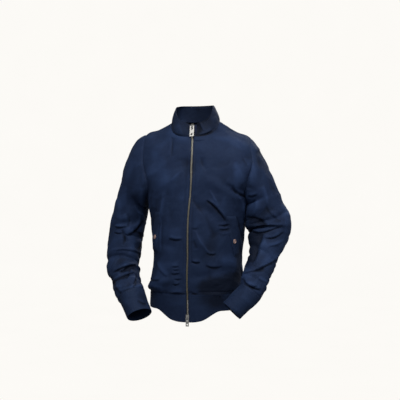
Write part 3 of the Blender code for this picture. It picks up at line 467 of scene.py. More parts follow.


def stroke_rise(piece, points, out):
    """How far strokes raise the points of a piece, the painted shade of their pinched lines (0 to 1), and how
    far broad ones alone raise them.
    """
    u, v = in_photo(points)
    facing = -(out @ AHEAD)
    seen = np.clip((facing + BEHIND) / BEHIND, 0, 1)
    rise, pinched_shade, broad = (np.zeros(u.shape) for _ in range(3))
    for s in map(Stroke._make, STROKES.get(piece, ())):
        t = np.linspace(0, 1, STROKE_SAMPLES)[:, None]
        control = np.array([[s.u0, s.v0], [2 * s.u1 - (s.u0 + s.u2) / 2, 2 * s.v1 - (s.v0 + s.v2) / 2]])
        end = np.array([s.u2, s.v2])
        curve = control[0] * (1 - t) ** 2 + 2 * control[1] * t * (1 - t) + end * t**2
        width = WIDER * s.width_mm / 1000 / PIXEL
        low, high = curve.min(0) - STROKE_REACH * width, curve.max(0) + STROKE_REACH * width
        near = (u > low[0]) & (u < high[0]) & (v > low[1]) & (v < high[1]) & (seen > 0)
        if not near.any():
            continue
        p = np.stack([u[near], v[near]], -1)[:, None]
        a, b = curve[:-1], curve[1:]
        share = np.clip(((p - a) * (b - a)).sum(-1) / ((b - a) ** 2).sum(-1), 0, 1)
        off = p - (a + (b - a) * share[..., None])
        best = (off**2).sum(-1).argmin(1)
        rows = np.arange(len(best))
        way = unit((b - a)[best])
        off = off[rows, best]
        side = (way[:, 0] * off[:, 1] - way[:, 1] * off[:, 0]) / width
        gone = np.sqrt((off**2).sum(-1)) / width
        reach = (best + share[rows, best]) / (STROKE_SAMPLES - 1)
        is_broad = s.width_mm >= WIDE_MM
        soft_ends = is_broad and "sleeve" not in piece
        taper = np.clip(4 * reach * (1 - reach), 0, 1) ** (SOFT_TAPER if soft_ends else TAPER)
        bell = s.bell_mm * np.exp(-(gone**BELL_POWER))
        step = s.step_mm * STEP_PEAK * np.tanh(STEP_SHARP * side) * np.exp(-STEP_FALL * gone)
        lift = TALLER * (bell + step) / 1000 * taper * seen[near]
        rise[near] += lift
        if is_broad:
            broad[near] += lift
        shut = np.clip((abs(s.step_mm) - s.bell_mm) / PINCH_FULL_MM, 0, 1) * taper * seen[near]
        shut = shut * np.clip((OPEN_MM - s.width_mm) / (OPEN_MM - SHUT_MM), 0, 1)
        pinched_shade[near] = np.maximum(pinched_shade[near], shut * np.exp(-((gone / PINCH_WIDTH) ** 2)))
    return rise, pinched_shade * PINCHED.get(piece, TORSO_PINCH), broad


print(sum(map(len, STROKES.values())), "creases placed by hand")

# %% [markdown]
# ## Small wrinkles
#
# Thin, dense cotton doesn't wave like wool: it lies in flat facets that meet at crisp creases, like
# paper that was crumpled once and smoothed out. Random heights on a lattice, joined by flat planes
# instead of a smooth curve, give just that. The lattice is turned and gently bent, so that no crease
# runs along an axis, and squashed in height, because the wrinkles of a worn jacket run across it.

# %% Small wrinkles
LATTICE_SIZE, LATTICE_SEED = 32, 23
LATTICE = np.random.default_rng(LATTICE_SEED).uniform(-1, 1, (LATTICE_SIZE,) * 3)
LATTICE_START = 100.0  # keeps every place on the lattice above 0
Facets = namedtuple("Facets", "size height squash")
FACETS = (
    (0.080, 0.0036, 1.0),
    (0.044, 0.0025, 1.3),
    (0.024, 0.0009, 1.6),
    (0.012, 0.00025, 1.4),
)
BEND, BEND_SIZE = 0.014, 0.070  # how far the lattice is bent, over how long
BEND_APART, FACETS_APART = 0.31, 0.37  # so that no two layers of noise are alike
TURNED = np.array([[0.80, 0.36, -0.48], [-0.60, 0.48, -0.64], [0.0, 0.80, 0.60]])  # a rotation
CALM, WAIST_MORE, HEM_MORE, ARM_MORE = 0.75, 0.5, 0.25, 0.8  # of the wrinkles, by place
SIDE_X, WAIST_Z, WAIST_WITHIN, HEM_Z, HEM_WITHIN = 0.15, -0.30, 0.10, -0.52, 0.06
ELBOW_SHARE, ELBOW_WITHIN, LOW_ARM_SHARE, LOW_ARM_WITHIN = 0.46, 0.12, 0.6, 0.25


def heights_at(corner):
    j = corner % LATTICE_SIZE
    return LATTICE[j[..., 0], j[..., 1], j[..., 2]]


def soft_noise(points, size):
    """Smooth noise between -1 and 1, its hills about as wide as size."""
    q = points / size + LATTICE_START
    i = np.floor(q).astype(int)
    f = ease(q - i)
    total = np.zeros(points.shape[:-1])
    for corner in range(8):
        d = np.array([corner & 1, corner >> 1 & 1, corner >> 2 & 1])
        total += np.where(d == 1, f, 1 - f).prod(-1) * heights_at(i + d)
    return total


def facet_noise(points, size):
    """Noise between -1 and 1 made of flat facets: each cell of the lattice is cut into six wedges."""
    q = points / size + LATTICE_START
    corner = np.floor(q).astype(int)
    f = q - corner
    order = np.argsort(-f, axis=-1)
    f = np.take_along_axis(f, order, -1)
    total = (1 - f[..., 0]) * heights_at(corner)
    for k in range(3):
        corner = corner + np.eye(3, dtype=int)[order[..., k]]
        rest = f[..., k + 1] if k < 2 else 0.0
        total += (f[..., k] - rest) * heights_at(corner)
    return total


def wrinkle_rise(points):
    """Facets and creases, the same wherever pieces meet."""
    bent = np.stack([soft_noise(points + BEND_APART * k, BEND_SIZE) for k in range(3)], -1)
    rise = np.zeros(points.shape[:-1])
    for k, facets in enumerate(map(Facets._make, FACETS)):
        squashed = (points + BEND * bent) * np.array([1.0, 1.0, facets.squash])
        rise += facets.height * facet_noise(squashed @ TURNED + FACETS_APART * k, facets.size)
    return rise


def torso_lively(points):
    """Worn cloth is calm on the chest and busy at the sides of the waist and over the hem."""
    side = np.clip(np.abs(points[..., 0]) / SIDE_X, 0, 1) ** 2
    waist = np.exp(-(((points[..., 2] - WAIST_Z) / WAIST_WITHIN) ** 2))
    hem = np.exp(-(((points[..., 2] - HEM_Z) / HEM_WITHIN) ** 2))
    return CALM + WAIST_MORE * side * waist + HEM_MORE * hem


def sleeve_lively(share):
    """A sleeve is calm at its cap and crumpled at the elbow and over the cuff."""
    elbow = np.exp(-(((share - ELBOW_SHARE) / ELBOW_WITHIN) ** 2))
    low_arm = np.clip((share - LOW_ARM_SHARE) / LOW_ARM_WITHIN, 0, 1)
    return CALM + ARM_MORE * elbow + ARM_MORE * low_arm


print(len(FACETS), "sizes of facets")

# %% [markdown]
# ## From grids of points to cloth
#
# Every piece of cloth is a grid of points with a wall of about a millimetre. Close to an edge the grid
# has rows 1, 3 and 6 mm in: the first two roll the edge over, and the third is where it is topstitched.
# A UV map in metres, measured along the cloth, lets the weave follow each piece as its thread would.

# %% Cloth pieces
OUTER = 0.0008  # of the outer face from the middle of the solid's wall
CLOTH_WALL = 0.0011
SHARP_DEG = 60
EDGE_STEPS = np.array([0.0, 0.001, 0.003, 0.006])
EDGE_ROWS = 2 * len(EDGE_STEPS) - 2  # that a grid has over its even ones
FADE_WITHIN = 0.008  # folds die away over this distance from a seam
SEAM_DIP, SEAM_DIP_WIDTH = 0.00030, 0.0020
# painted shade along seams and pinched lines, taken off the tone of the cloth's colour
SEAM_SHADE, SEAM_SHADE_WIDTH = 0.0022, 0.0019  # a seam is as dark as a fold as deep as this
PINCH_SHADE = 0.0034  # and so is the line of a fold that is pinched shut
PUCKER, PUCKER_PITCH, PUCKER_REACH, PUCKER_STARTS = 0.00022, 0.011, 0.007, 0.002
PUCKER_WANDER, PUCKER_WANDER_SIZE = 0.7, 0.05
FAR_AWAY = 9.0
surfaces = {}
Cut = namedtuple("Cut", "width length area")  # in metres, before sewing; no area means a rectangle
ALL_EDGES = ("first_row", "last_row", "first_column", "last_column")


def spaced(total, count):
    """Distances over a width of cloth, close together near both edges."""
    inner = np.linspace(EDGE_STEPS[-1], total - EDGE_STEPS[-1], count)
    return np.concatenate([EDGE_STEPS[:-1], inner, total - EDGE_STEPS[-2::-1]])


def run_of(points, axis):
    """Distance travelled along one axis of a grid of points."""
    step = np.linalg.norm(np.diff(points, axis=axis), axis=-1)
    start = np.zeros_like(np.take(step, [0], axis=axis))
    return np.concatenate([start, np.cumsum(step, axis=axis)], axis=axis)


def run_round(surface, level, turns):
    """Distance travelled round a surface at one level."""
    return run_of(surface(np.full(len(turns), level), turns)[None], 1)[0]


def grid_normals(grid, closed=False):
    """Normals of a grid whose columns run round the piece and whose rows run along it."""
    if closed:
        across = np.roll(grid, -1, axis=1) - np.roll(grid, 1, axis=1)
    else:
        across = np.gradient(grid, axis=1)
    return unit(np.cross(across, np.gradient(grid, axis=0)))


def agreeing(lean, way):
    """Turns round the directions that point against a way."""
    return np.where((lean * way).sum(-1, keepdims=True) < 0, -lean, lean)


def near_edges(grid, edges):
    """Distance of each point of a grid from the nearest of its named edges, and along that edge."""
    down, across = run_of(grid, 0), run_of(grid, 1)
    choices = {
        "first_row": (down, across),
        "last_row": (down[-1:] - down, across),
        "first_column": (across, down),
        "last_column": (across[:, -1:] - across, down),
    }
    away, travel = np.full(grid.shape[:2], FAR_AWAY), np.zeros(grid.shape[:2])
    for edge in edges:
        distance, place = choices[edge]
        travel = np.where(distance < away, place, travel)
        away = np.minimum(distance, away)
    return away, travel


def creased(name, grid, out, seams=ALL_EDGES, closed=False, extra=0.0, lively=1.0, dark=()):
    """Lays every fold and wrinkle of a piece on its grid, and gives the tone of the cloth with it.

    The folds die away at the seams, but their tone runs on. The tone paints shade into the colour in the
    folds' valleys, along pinched lines and along the edges that dark names, and makes the folds' tops paler,
    as wear and painted highlight.
    """
    away, travel = near_edges(grid, seams)
    away_dark, _ = near_edges(grid, dark)
    fade = ease(np.clip(away / FADE_WITHIN, 0, 1))
    strokes, pinched_shade, broad = stroke_rise(name, grid, out)
    small = lively * wrinkle_rise(grid) + extra
    # On the torso a broad stroke keeps its full tone but less height, so its shade and light are painted into
    # the colour; on a sleeve it keeps its height and gives no tone.
    flatter, fainter = (0.0, 1.0) if "sleeve" in name else (TORSO_FLATTER, 0.0)
    rise, tone = (small + (strokes - less * broad) for less in (flatter, fainter))
    pucker = np.sin(math.tau * (travel / PUCKER_PITCH + PUCKER_WANDER * soft_noise(grid, PUCKER_WANDER_SIZE)))
    rise = rise * fade + PUCKER * pucker * np.exp(-away / PUCKER_REACH) * np.clip(away / PUCKER_STARTS, 0, 1)
    rise -= SEAM_DIP * np.exp(-((away / SEAM_DIP_WIDTH) ** 2))
    moved = grid + out * rise[..., None]
    lean = agreeing(grid_normals(moved, closed), out)
    # painted shade: seams and pinched lines are darkened in the tone, not by their shape
    shade = SEAM_SHADE * np.exp(-((away_dark / SEAM_SHADE_WIDTH) ** 2)) + PINCH_SHADE * pinched_shade * fade
    return moved, lean, tone - shade


def smooth(mesh, sharp_deg=None):
    """Turns every face of a closed mesh outwards, and shades it smooth up to its sharp edges."""
    work = bmesh.new()
    work.from_mesh(mesh)
    bmesh.ops.recalc_face_normals(work, faces=work.faces)
    work.to_mesh(mesh)
    work.free()
    mesh.shade_smooth()
    if sharp_deg is not None:
        mesh.set_sharp_from_angle(angle=math.radians(sharp_deg))


def hand_over(made, body, slot, *nodes):
    """Tells the frame what carries a finished piece and the solids that it replaces. slot is not used."""
    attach(made, body)
    if nodes:
        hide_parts(*nodes)


def strip(line, lift):
    """Faces between a line of points and its copy, lift points further on."""
    return np.stack([line[:-1], line[1:], line[1:] + lift, line[:-1] + lift], -1)


def corners(grid):
    """The four corners of every cell of a grid."""
    return np.stack([grid[:-1, :-1], grid[:-1, 1:], grid[1:, 1:], grid[1:, :-1]], -1).reshape(-1, 4)


def shell(name, grid, lean, tone, look, slot, closed=False, wall=CLOTH_WALL, outer=OUTER):
    """A mesh of cloth from a grid of points, with its UV map in metres and its tone, with painted shade and
    light, as an attribute.
    """
    rows, columns = grid.shape[:2]
    top = grid + lean * outer
    bottom = top - lean * wall
    points = np.concatenate([top.reshape(-1, 3), bottom.reshape(-1, 3)])
    index, ring = np.arange(rows * columns).reshape(rows, columns), grid
    if closed:
        index, ring = (np.concatenate([x, x[:, :1]], axis=1) for x in (index, grid))
    middle = ring.shape[1] // 2
    u, v = run_of(ring, 1), run_of(ring, 0)
    u = u - u[:, [middle]]
    v = np.repeat(v[:, [middle]], v.shape[1], axis=1)
    quads, corner_u, corner_v = map(corners, (index, u, v))
    across = points[quads[:, 1]] - points[quads[:, 0]]
    up = points[quads[:, 3]] - points[quads[:, 0]]
    if (np.cross(across, up) * lean.reshape(-1, 3)[quads[:, 0]]).sum() < 0:
        quads, corner_u, corner_v = (x[:, ::-1] for x in (quads, corner_u, corner_v))
    rims = [index[0], index[-1]] if closed else [index[0], index[-1], index[:, 0], index[:, -1]]
    rims = np.concatenate([strip(line, rows * columns) for line in rims])
    faces = np.concatenate([quads, quads[:, ::-1] + rows * columns, rims])
    mesh = bpy.data.meshes.new(f"{name}_cloth")
    mesh.from_pydata(points, [], faces)
    flat_u, flat_v = (np.concatenate([x, x[:, ::-1]]).ravel() for x in (corner_u, corner_v))
    uv = np.concatenate([np.stack([flat_u, flat_v], -1), np.zeros((rims.size, 2))])
    mesh.uv_layers.new(name="cloth").data.foreach_set("uv", uv.ravel().astype(np.float32))
    mark = mesh.attributes.new("fold_height", "FLOAT", "POINT")
    mark.data.foreach_set("value", np.tile(tone.ravel(), 2).astype(np.float32))
    mesh.materials.append(look)
    made = new_object(mesh.name, mesh)
    smooth(mesh, SHARP_DEG)
    hand_over(made, "jacket", slot, name)
    surfaces[name] = (grid, lean)
    area = 0.5 * sum(p.area for p in mesh.polygons)
    width, length = (u[:, -1] - u[:, 0]).max(), run_of(ring, 0)[-1].max()
    print(f"{name}: {len(faces)} faces, {width:.3f} x {length:.3f} m, {area:.4f} m2 of cloth")


# %% [markdown]
# ## Colour and one helper for nodes
#
# Colours are read off swatches as sRGB hex and turned linear once, here. `add` puts one node in a tree,
# with its settings and the links that come into it. The few short functions after it only save typing.

# %% Colour and nodes
def linear(hex_code):
    """A linear colour with alpha from an sRGB hex code."""
    channels = [int(hex_code[i : i + 2], 16) / 255 for i in (1, 3, 5)]
    return tuple(c / 12.92 if c <= 0.04045 else ((c + 0.055) / 1.055) ** 2.4 for c in channels) + (1.0,)


def fill(tree, node, settings=None, links=None):
    """Sets and links a node's inputs, named or numbered, and sets its properties."""
    for key, value in (settings or {}).items():
        if isinstance(key, int) or key in node.inputs:
            node.inputs[key].default_value = value
        else:
            setattr(node, key, value)
    for key, source in (links or {}).items():
        tree.links.new(source, node.inputs[key])
    return node


def add(tree, kind, settings=None, links=None):
    """Adds a node."""
    return fill(tree, tree.nodes.new(kind), settings, links)


def noise(tree, here, scale, detail, roughness=0.5):
    settings = {"Scale": scale, "Detail": detail, "Roughness": roughness}
    return add(tree, "ShaderNodeTexNoise", settings, {"Vector": here}).outputs["Fac"]


def ranged(tree, value, low, high, first=0.0, last=1.0):
    """Carries a value from the range of first to last over to that of low to high."""
    settings = {"From Min": first, "From Max": last, "To Min": low, "To Max": high}
    return add(tree, "ShaderNodeMapRange", settings, {"Value": value}).outputs["Result"]


def blend(tree, share, low, high):
    """A colour between two hex codes, or from an output's colour to a hex code."""
    ends = {6: low, 7: high}
    settings = {key: linear(end) for key, end in ends.items() if isinstance(end, str)}
    links = {key: end for key, end in ends.items() if key not in settings}
    return add(tree, "ShaderNodeMix", {"data_type": "RGBA"} | settings, {0: share} | links).outputs[2]


def times(tree, a, b):
    return add(tree, "ShaderNodeMath", {"operation": "MULTIPLY"}, {0: a, 1: b}).outputs[0]


def dimmed(tree, colour, share):
    return add(tree, "ShaderNodeVectorMath", {"operation": "SCALE"}, {0: colour, "Scale": share}).outputs[0]


def bump(tree, height, strength, distance, under=None):
    links = {"Height": height} if under is None else {"Height": height, "Normal": under}
    return add(tree, "ShaderNodeBump", {"Strength": strength, "Distance": distance}, links).outputs["Normal"]


def new_material(name):
    """A material, its tree, its surface shader and its Object coordinates."""
    made = bpy.data.materials.new(name)
    made.use_nodes = True
    tree = made.node_tree
    here = add(tree, "ShaderNodeTexCoord").outputs["Object"]
    return made, tree, tree.nodes["Principled BSDF"], here


print("linear navy", np.round(linear("#223250")[:3], 4))

# %% [markdown]
# ## Navy cotton cloth
#
# The shell is a light, dense plain weave of cotton with a little nylon, piece-dyed navy. Thread lies
# every 0.4 mm, too fine for the picture, so it is drawn at 0.8 mm. The dye is a little uneven. Shade is
# painted into the colour in the folds' valleys, along seams and along pinched lines, and the tops of the
# folds are paler, from rubbing and from painted highlight. The nylon gives a low, wide sheen at grazing
# angles.

# %% Cloth material
THREAD_PITCH = 0.0008
WAVE_UNIT = math.tau / 20  # a wave texture of scale 1 repeats over this many units
VALLEY_PAINTED_SHADE = 0.36  # painted shade: the share of the colour left at the bottom of the deepest folds


def cloth_material(name, base, deep, paler, weave_bump=0.5):
    """Dyed cloth: its colour, the deeper one beside it, and the paler one on the folds' tops, for rubbing and
    painted highlight.
    """
    made, tree, shader, here = new_material(name)
    uv = add(tree, "ShaderNodeUVMap", {"uv_map": "cloth"}).outputs["UV"]
    waves = {"Scale": WAVE_UNIT / THREAD_PITCH, "Distortion": 0.6, "Detail": 1.0}
    threads = [
        add(tree, "ShaderNodeTexWave", {"bands_direction": way} | waves, {"Vector": uv}) for way in ("X", "Y")
    ]
    weave = times(tree, *(wave.outputs["Fac"] for wave in threads))
    dye = noise(tree, here, scale=14.0, detail=5.0, roughness=0.6)
    slub = noise(tree, here, scale=420.0, detail=2.0)
    spread = ranged(tree, times(tree, dye, slub), low=0.0, high=1.0, first=0.12, last=0.40)
    fold = add(tree, "ShaderNodeAttribute", {"attribute_name": "fold_height"}).outputs["Fac"]
    gap = ranged(tree, weave, low=0.75, high=1.1)
    # painted shade: the colour darkens in the folds' valleys, along seams and along pinched lines
    painted_valley_shade = ranged(tree, fold, low=VALLEY_PAINTED_SHADE, high=1.0, first=-0.0044, last=-0.0010)
    # paler on the folds' tops: rubbing wear, and painted highlight where broad strokes on the torso raise the
    # tone
    wear_and_highlight = ranged(tree, fold, low=0.0, high=0.6, first=0.0006, last=0.0040)
    threaded = dimmed(tree, blend(tree, spread, base, deep), gap)
    # the cloth's colour with its painted shade, and its tops paler from rubbing and painted highlight
    colour_with_painted_light = blend(tree, wear_and_highlight, dimmed(tree, threaded, painted_valley_shade), paler)
    crumpled = noise(tree, here, scale=70.0, detail=6.0, roughness=0.62)
    crumple = bump(tree, crumpled, strength=0.36, distance=0.0016)
    fill(
        tree,
        shader,
        {
            "Specular IOR Level": 0.14,
            "Sheen Weight": 0.03,
            "Sheen Roughness": 0.4,
            "Sheen Tint": linear("#6f8bc8"),
        },
        {
            "Base Color": colour_with_painted_light,
            "Roughness": ranged(tree, dye, low=0.66, high=0.84),
            "Normal": bump(tree, weave, strength=weave_bump, distance=0.00012, under=crumple),
        },
    )
    return made


navy_cloth = cloth_material("navy_cotton_plain_weave", "#223250", "#1c2a47", "#2f4267")
band_cloth = cloth_material("navy_cotton_doubled_band", "#233350", "#1d2b48", "#2f4267", weave_bump=0.6)
# painted shade: the collar's cloth is darker than the fronts', as though a head shaded it from above
collar_cloth = cloth_material("navy_cotton_doubled_collar", "#1c2942", "#18233b", "#273858")
print("materials", navy_cloth.name, band_cloth.name, collar_cloth.name)

# %% [markdown]
# ## Fronts and back
#
# The rows of a panel run from the band seam up past the armhole to the neckline, so the side seam, the
# armhole and the shoulder seam together are its last column. Panels that share a seam also share its
# points and its normals, and only the folds, which fade out near a seam, set them apart.

# %% Panel grids
FRONT_EDGE = 0.0034  # of a front from the middle of the zip
FRONT_EDGE_TURNS = np.linspace(0, 25, 251)  # among which that edge lies
BODY_ROWS, ARM_ROWS, TOP_ROWS = 130, 74, 28
FRONT_COLUMNS, BACK_COLUMNS = 110, 170
PANEL_SAMPLES, LEVEL_SAMPLES = 241, 400
ROWS_TURN = 60.0  # where the spacing of the rows is measured
BAND_ROWS, BAND_DEPTH = 22, 0.052  # at the side
HEM_SAG, HEM_SAG_WITHIN = 0.0070, 0.046  # the band hangs lowest behind the zip's lower end


def levels_between(first, last, count, near_first=False, near_last=False):
    """Levels evenly apart on the cloth, and close together near a seam."""
    fine = np.linspace(first, last, LEVEL_SAMPLES)
    run = run_of(torso_plain(fine, np.full(LEVEL_SAMPLES, ROWS_TURN))[None], 1)[0]
    start = EDGE_STEPS[-1] if near_first else 0.0
    stop = run[-1] - (EDGE_STEPS[-1] if near_last else 0.0)
    places = np.linspace(start, stop, count)
    if near_first:
        places = np.concatenate([EDGE_STEPS[:-1], places])
    if near_last:
        places = np.concatenate([places, run[-1] - EDGE_STEPS[-2::-1]])
    return np.interp(places, run, fine)


low_levels = levels_between(BAND_SEAM, ARMPIT, BODY_ROWS, near_first=True)
arm_levels = ARMPIT + (SHOULDER - ARMPIT) * (1 - np.cos(np.linspace(0, math.pi, ARM_ROWS + 1))) / 2
top_levels = levels_between(SHOULDER, NECK, TOP_ROWS, near_last=True)
BODY_LEVELS = np.concatenate([low_levels, arm_levels[1:], top_levels[1:]])
ARM_FIRST = len(low_levels) - 1
ARM_LAST = ARM_FIRST + ARM_ROWS
BAND_LEVELS = np.interp(spaced(BAND_DEPTH, BAND_ROWS), [0.0, BAND_DEPTH], [0.0, BAND_SEAM])


def armhole_share(level):
    """How deep the armhole cuts in at a level, from 0 at its ends to 1."""
    share = np.clip((np.asarray(level) - ARMPIT) / (SHOULDER - ARMPIT), 0, 1)
    return np.sqrt(np.clip(1 - (2 * share - 1) ** 2, 0, 1))


def front_side_edge(side, levels):
    return SIGN[side] * (90 - ARMHOLE_FRONT[side] * armhole_share(levels))


def zip_edge(surface, level):
    """How far round a surface its front edge lies."""
    run = run_round(surface, level, FRONT_EDGE_TURNS)
    return float(np.interp(FRONT_EDGE, run, FRONT_EDGE_TURNS))


def panel_turns(levels, first, last, count):
    """Turns of a panel's points, spaced along the cloth between two edges."""
    turns = []
    for level, a, b in zip(levels, first, last):
        fine = np.linspace(a, b, PANEL_SAMPLES)
        run = run_round(torso, level, fine)
        turns.append(np.interp(spaced(run[-1], count), run, fine))
    return np.array(turns)


def front_turns(side, levels):
    first = [SIGN[side] * zip_edge(torso, level) for level in levels]
    return panel_turns(levels, first, front_side_edge(side, levels), FRONT_COLUMNS)


def back_turns(levels):
    edge = 90 + ARMHOLE_BACK * armhole_share(levels)
    return panel_turns(levels, edge, 360 - edge, BACK_COLUMNS)


def armhole_points(side):
    """Seam points of an armhole, with the torso's normals: shoulder tip, front, armpit, back."""
    front = front_side_edge(side, arm_levels)
    back = SIGN[side] * (90 + ARMHOLE_BACK * armhole_share(arm_levels))
    level = np.concatenate([arm_levels[::-1], arm_levels[1:-1]])
    turn = np.concatenate([front[::-1], back[1:-1]])
    return torso(level, turn), normals(torso, level, turn)


def laid(surface, levels, turns):
    """The points, normals and levels of a grid on a surface."""
    level = np.repeat(levels[:, None], turns.shape[1], axis=1)
    return surface(level, turns), normals(surface, level, turns), level


print("panel rows", len(BODY_LEVELS), "armhole points", 2 * ARM_ROWS)

# %% [markdown]
# ## Sleeves
#
# A sleeve starts on the armhole's own points and bends through a row of stations along the arm. Its
# folds are spirals: a share of the way down the sleeve, an angle round it, and a twist.

# %% Sleeve grids
Station = namedtuple("Station", "x y z half_across half_depth")
SLEEVES = {
    "left": (
        (0.227, 0.025, -0.26, 0.053, 0.062),
        (0.233, 0.026, -0.293, 0.061, 0.062),
        (0.24, 0.026, -0.328, 0.071, 0.062),  # elbow
        (0.241, 0.022, -0.356, 0.066, 0.06),
        (0.235, 0.008, -0.392, 0.057, 0.056),
        (0.23, -0.015, -0.427, 0.046, 0.051),
        (0.225, -0.036, -0.455, 0.039, 0.047),
        (0.217, -0.062, -0.487, 0.0385, 0.044),
        (0.211, -0.083, -0.515, 0.037, 0.041),
        (0.201, -0.101, -0.541, 0.0355, 0.039),  # cuff seam
        (0.175, -0.114, -0.568, 0.035, 0.037),
        (0.147, -0.127, -0.598, 0.035, 0.036),
    ),
    "right": (
        (-0.227, 0.022, -0.275, 0.054, 0.062),
        (-0.241, 0.022, -0.323, 0.056, 0.061),
        (-0.248, 0.02, -0.375, 0.0615, 0.06),
        (-0.25, 0.01, -0.416, 0.059, 0.058),  # elbow
        (-0.2485, -0.005, -0.452, 0.0545, 0.055),
        (-0.239, -0.032, -0.49, 0.052, 0.051),
        (-0.215, -0.066, -0.532, 0.046, 0.047),
        (-0.187, -0.096, -0.567, 0.044, 0.042),  # cuff seam
        (-0.17, -0.112, -0.593, 0.043, 0.038),
        (-0.152, -0.127, -0.621, 0.0425, 0.035),
    ),
}
CAP_LEAVES = {"left": (0.70, -0.71), "right": (0.97, -0.24)}  # its way out of the armhole, in x and z
UNDERARM_LEAVES = (0.66, -0.75)
CAP_SWELL = 0.35
CUFF_STATIONS = 2
CAP_SHARE = 6 / 21  # of the way from armhole to cuff
SleeveFold = namedtuple("SleeveFold", "share angle twist half_angle half_share height")
SLEEVE_FOLDS = {
    "left": (
        (0.26, 120, 0.1, 50, 0.03, -0.0055),
        (0.42, 60, 0.16, 60, 0.022, -0.006),
        (0.48, 80, -0.05, 60, 0.024, 0.006),
        (0.55, 120, 0.2, 60, 0.02, -0.006),
        (0.7, 70, -0.25, 70, 0.022, -0.0055),
        (0.79, 80, -0.2, 70, 0.022, 0.005),
        (0.92, 60, -0.1, 80, 0.02, -0.004),
        (0.45, 270, 0.05, 60, 0.03, -0.005),
        (0.9, 250, 0, 70, 0.022, -0.004),
    ),
    "right": (
        (0.22, 140, 0.1, 40, 0.03, -0.0055),
        (0.42, 70, -0.18, 50, 0.026, -0.0055),
        (0.5, 140, 0.12, 45, 0.028, -0.006),
        (0.66, 90, -0.1, 70, 0.018, 0.0045),
        (0.74, 60, 0.12, 80, 0.02, -0.0065),
        (0.82, 100, -0.08, 80, 0.018, 0.0055),
        (0.9, 80, 0.1, 90, 0.018, -0.0055),
        (0.58, 270, 0.08, 60, 0.026, -0.0055),
        (0.84, 240, -0.08, 70, 0.02, -0.005),
    ),
}
ARM_CREASES = (  # smaller ones on the sides of the arms that the picture hides
    (0.14, 300, 0.1, 40, 0.016, -0.0022),
    (0.22, 255, -0.12, 45, 0.014, 0.0022),
    (0.31, 285, 0.16, 50, 0.013, -0.0026),
    (0.38, 240, -0.1, 45, 0.012, 0.0026),
    (0.43, 290, -0.14, 40, 0.011, -0.0028),
    (0.5, 250, 0.18, 50, 0.011, 0.003),
    (0.53, 300, 0.08, 45, 0.01, -0.0028),
    (0.61, 265, -0.16, 50, 0.011, -0.0026),
    (0.67, 225, 0.12, 45, 0.01, 0.0026),
    (0.72, 285, 0.14, 50, 0.01, -0.0028),
    (0.79, 250, -0.1, 55, 0.009, 0.0028),
    (0.84, 295, 0.1, 45, 0.009, -0.0026),
    (0.89, 230, 0.12, 55, 0.009, -0.0028),
    (0.94, 270, -0.08, 60, 0.009, 0.0024),
)
SLEEVE_RINGS, CUFF_RINGS, FINE_RINGS, FINE_CUFF_RINGS = 210, 30, 60, 81
STATION_STEP = 0.05  # over which a sleeve's direction is taken
CALM_CAP, CALM_CUFF = 0.08, 0.04  # shares of a sleeve over which its folds die away
CUFF_LIVELY, BAND_LIVELY, COLLAR_LIVELY = 0.45, 0.5, 0.7  # of the wrinkles, on doubled cloth


def station_ring(side, place, angles):
    """The ring of a sleeve at a place counted in stations."""
    table = SLEEVES[side]
    here = Station(*along(table, place))
    ahead, behind = min(place + STATION_STEP, len(table) - 1), max(place - STATION_STEP, 0)
    direction = unit((along(table, ahead) - along(table, behind))[:3])
    hint = unit(np.array([SIGN[side], 0.0, 1.0]))
    outer = unit(hint - direction * float(hint @ direction))
    front = SIGN[side] * np.cross(direction, outer)
    a = np.radians(angles)[:, None]
    ring = np.array([here.x, here.y, here.z])
    ring = ring + outer * np.cos(a) * here.half_across + front * np.sin(a) * here.half_depth
    return ring, direction


def spiral_rise(folds, share, turn):
    """How far folds of a sleeve raise its points."""
    rise = np.zeros(np.broadcast(share, turn).shape)
    for fold in map(SleeveFold._make, folds):
        off = (turn - fold.angle + 180) % 360 - 180
        reach = (share - fold.share - fold.twist * off / 360) / fold.half_share
        rise += fold.height * np.exp(-((off / fold.half_angle) ** 2) - reach**2)
    return rise


def evened(rings, count, run=None):
    """Reads rings at even distances along each of their columns."""
    run = run_of(rings, 0) if run is None else run
    even = np.empty((count + EDGE_ROWS, *rings.shape[1:]))
    for j in range(rings.shape[1]):
        places = spaced(run[-1, j], count)
        for k in range(rings.shape[2]):
            even[:, j, k] = np.interp(places, run[:, j], rings[:, j, k])
    return even


def sleeve_grid(side):
    """Evenly spaced rings of a sleeve from armhole to cuff seam, and their shares of the way."""
    seam, seam_out = armhole_points(side)
    columns = len(seam)
    angles = np.arange(columns) * 360.0 / columns
    first, direction = station_ring(side, 0.0, angles)
    under_share = (1 - np.cos(np.radians(angles)[:, None])) / 2
    cap_share = (1 + np.cos(np.radians(angles)[:, None])) / 2
    top, under = (np.array([x * SIGN[side], 0.0, z]) for x, z in (CAP_LEAVES[side], UNDERARM_LEAVES))
    leave = unit(top * cap_share + under * under_share)
    leave = unit(leave + CAP_SWELL * seam_out * under_share)
    reach = np.linalg.norm(first - seam, axis=1, keepdims=True)
    rings, shares = [], []
    for f in np.linspace(0, 1, FINE_RINGS + 1)[:-1]:
        rings.append(glide(f, seam, leave * reach, first, direction * reach))
        shares.append(CAP_SHARE * f)
    last = len(SLEEVES[side]) - 1 - CUFF_STATIONS
    for place in np.linspace(0, last, 2 * FINE_RINGS + 1):
        rings.append(station_ring(side, place, angles)[0])
        shares.append(CAP_SHARE + (1 - CAP_SHARE) * place / last)
    rings = np.array(rings)
    run = run_of(rings, 0)
    shares = np.repeat(np.array(shares)[:, None, None], columns, axis=1)
    even = evened(np.concatenate([rings, shares], -1), SLEEVE_RINGS, run)
    return even[..., :3], even[..., 3], angles, seam_out


def cuff_grid(side, angles):
    last = len(SLEEVES[side]) - 1
    places = np.linspace(last - CUFF_STATIONS, last, FINE_CUFF_RINGS)
    return evened(np.array([station_ring(side, place, angles)[0] for place in places]), CUFF_RINGS)


def outward(grid):
    """Normals of a closed grid, away from its middle line."""
    lean = grid_normals(grid, True)
    away = grid - grid.mean(axis=1, keepdims=True)
    return lean if float((lean * away).sum()) > 0 else -lean


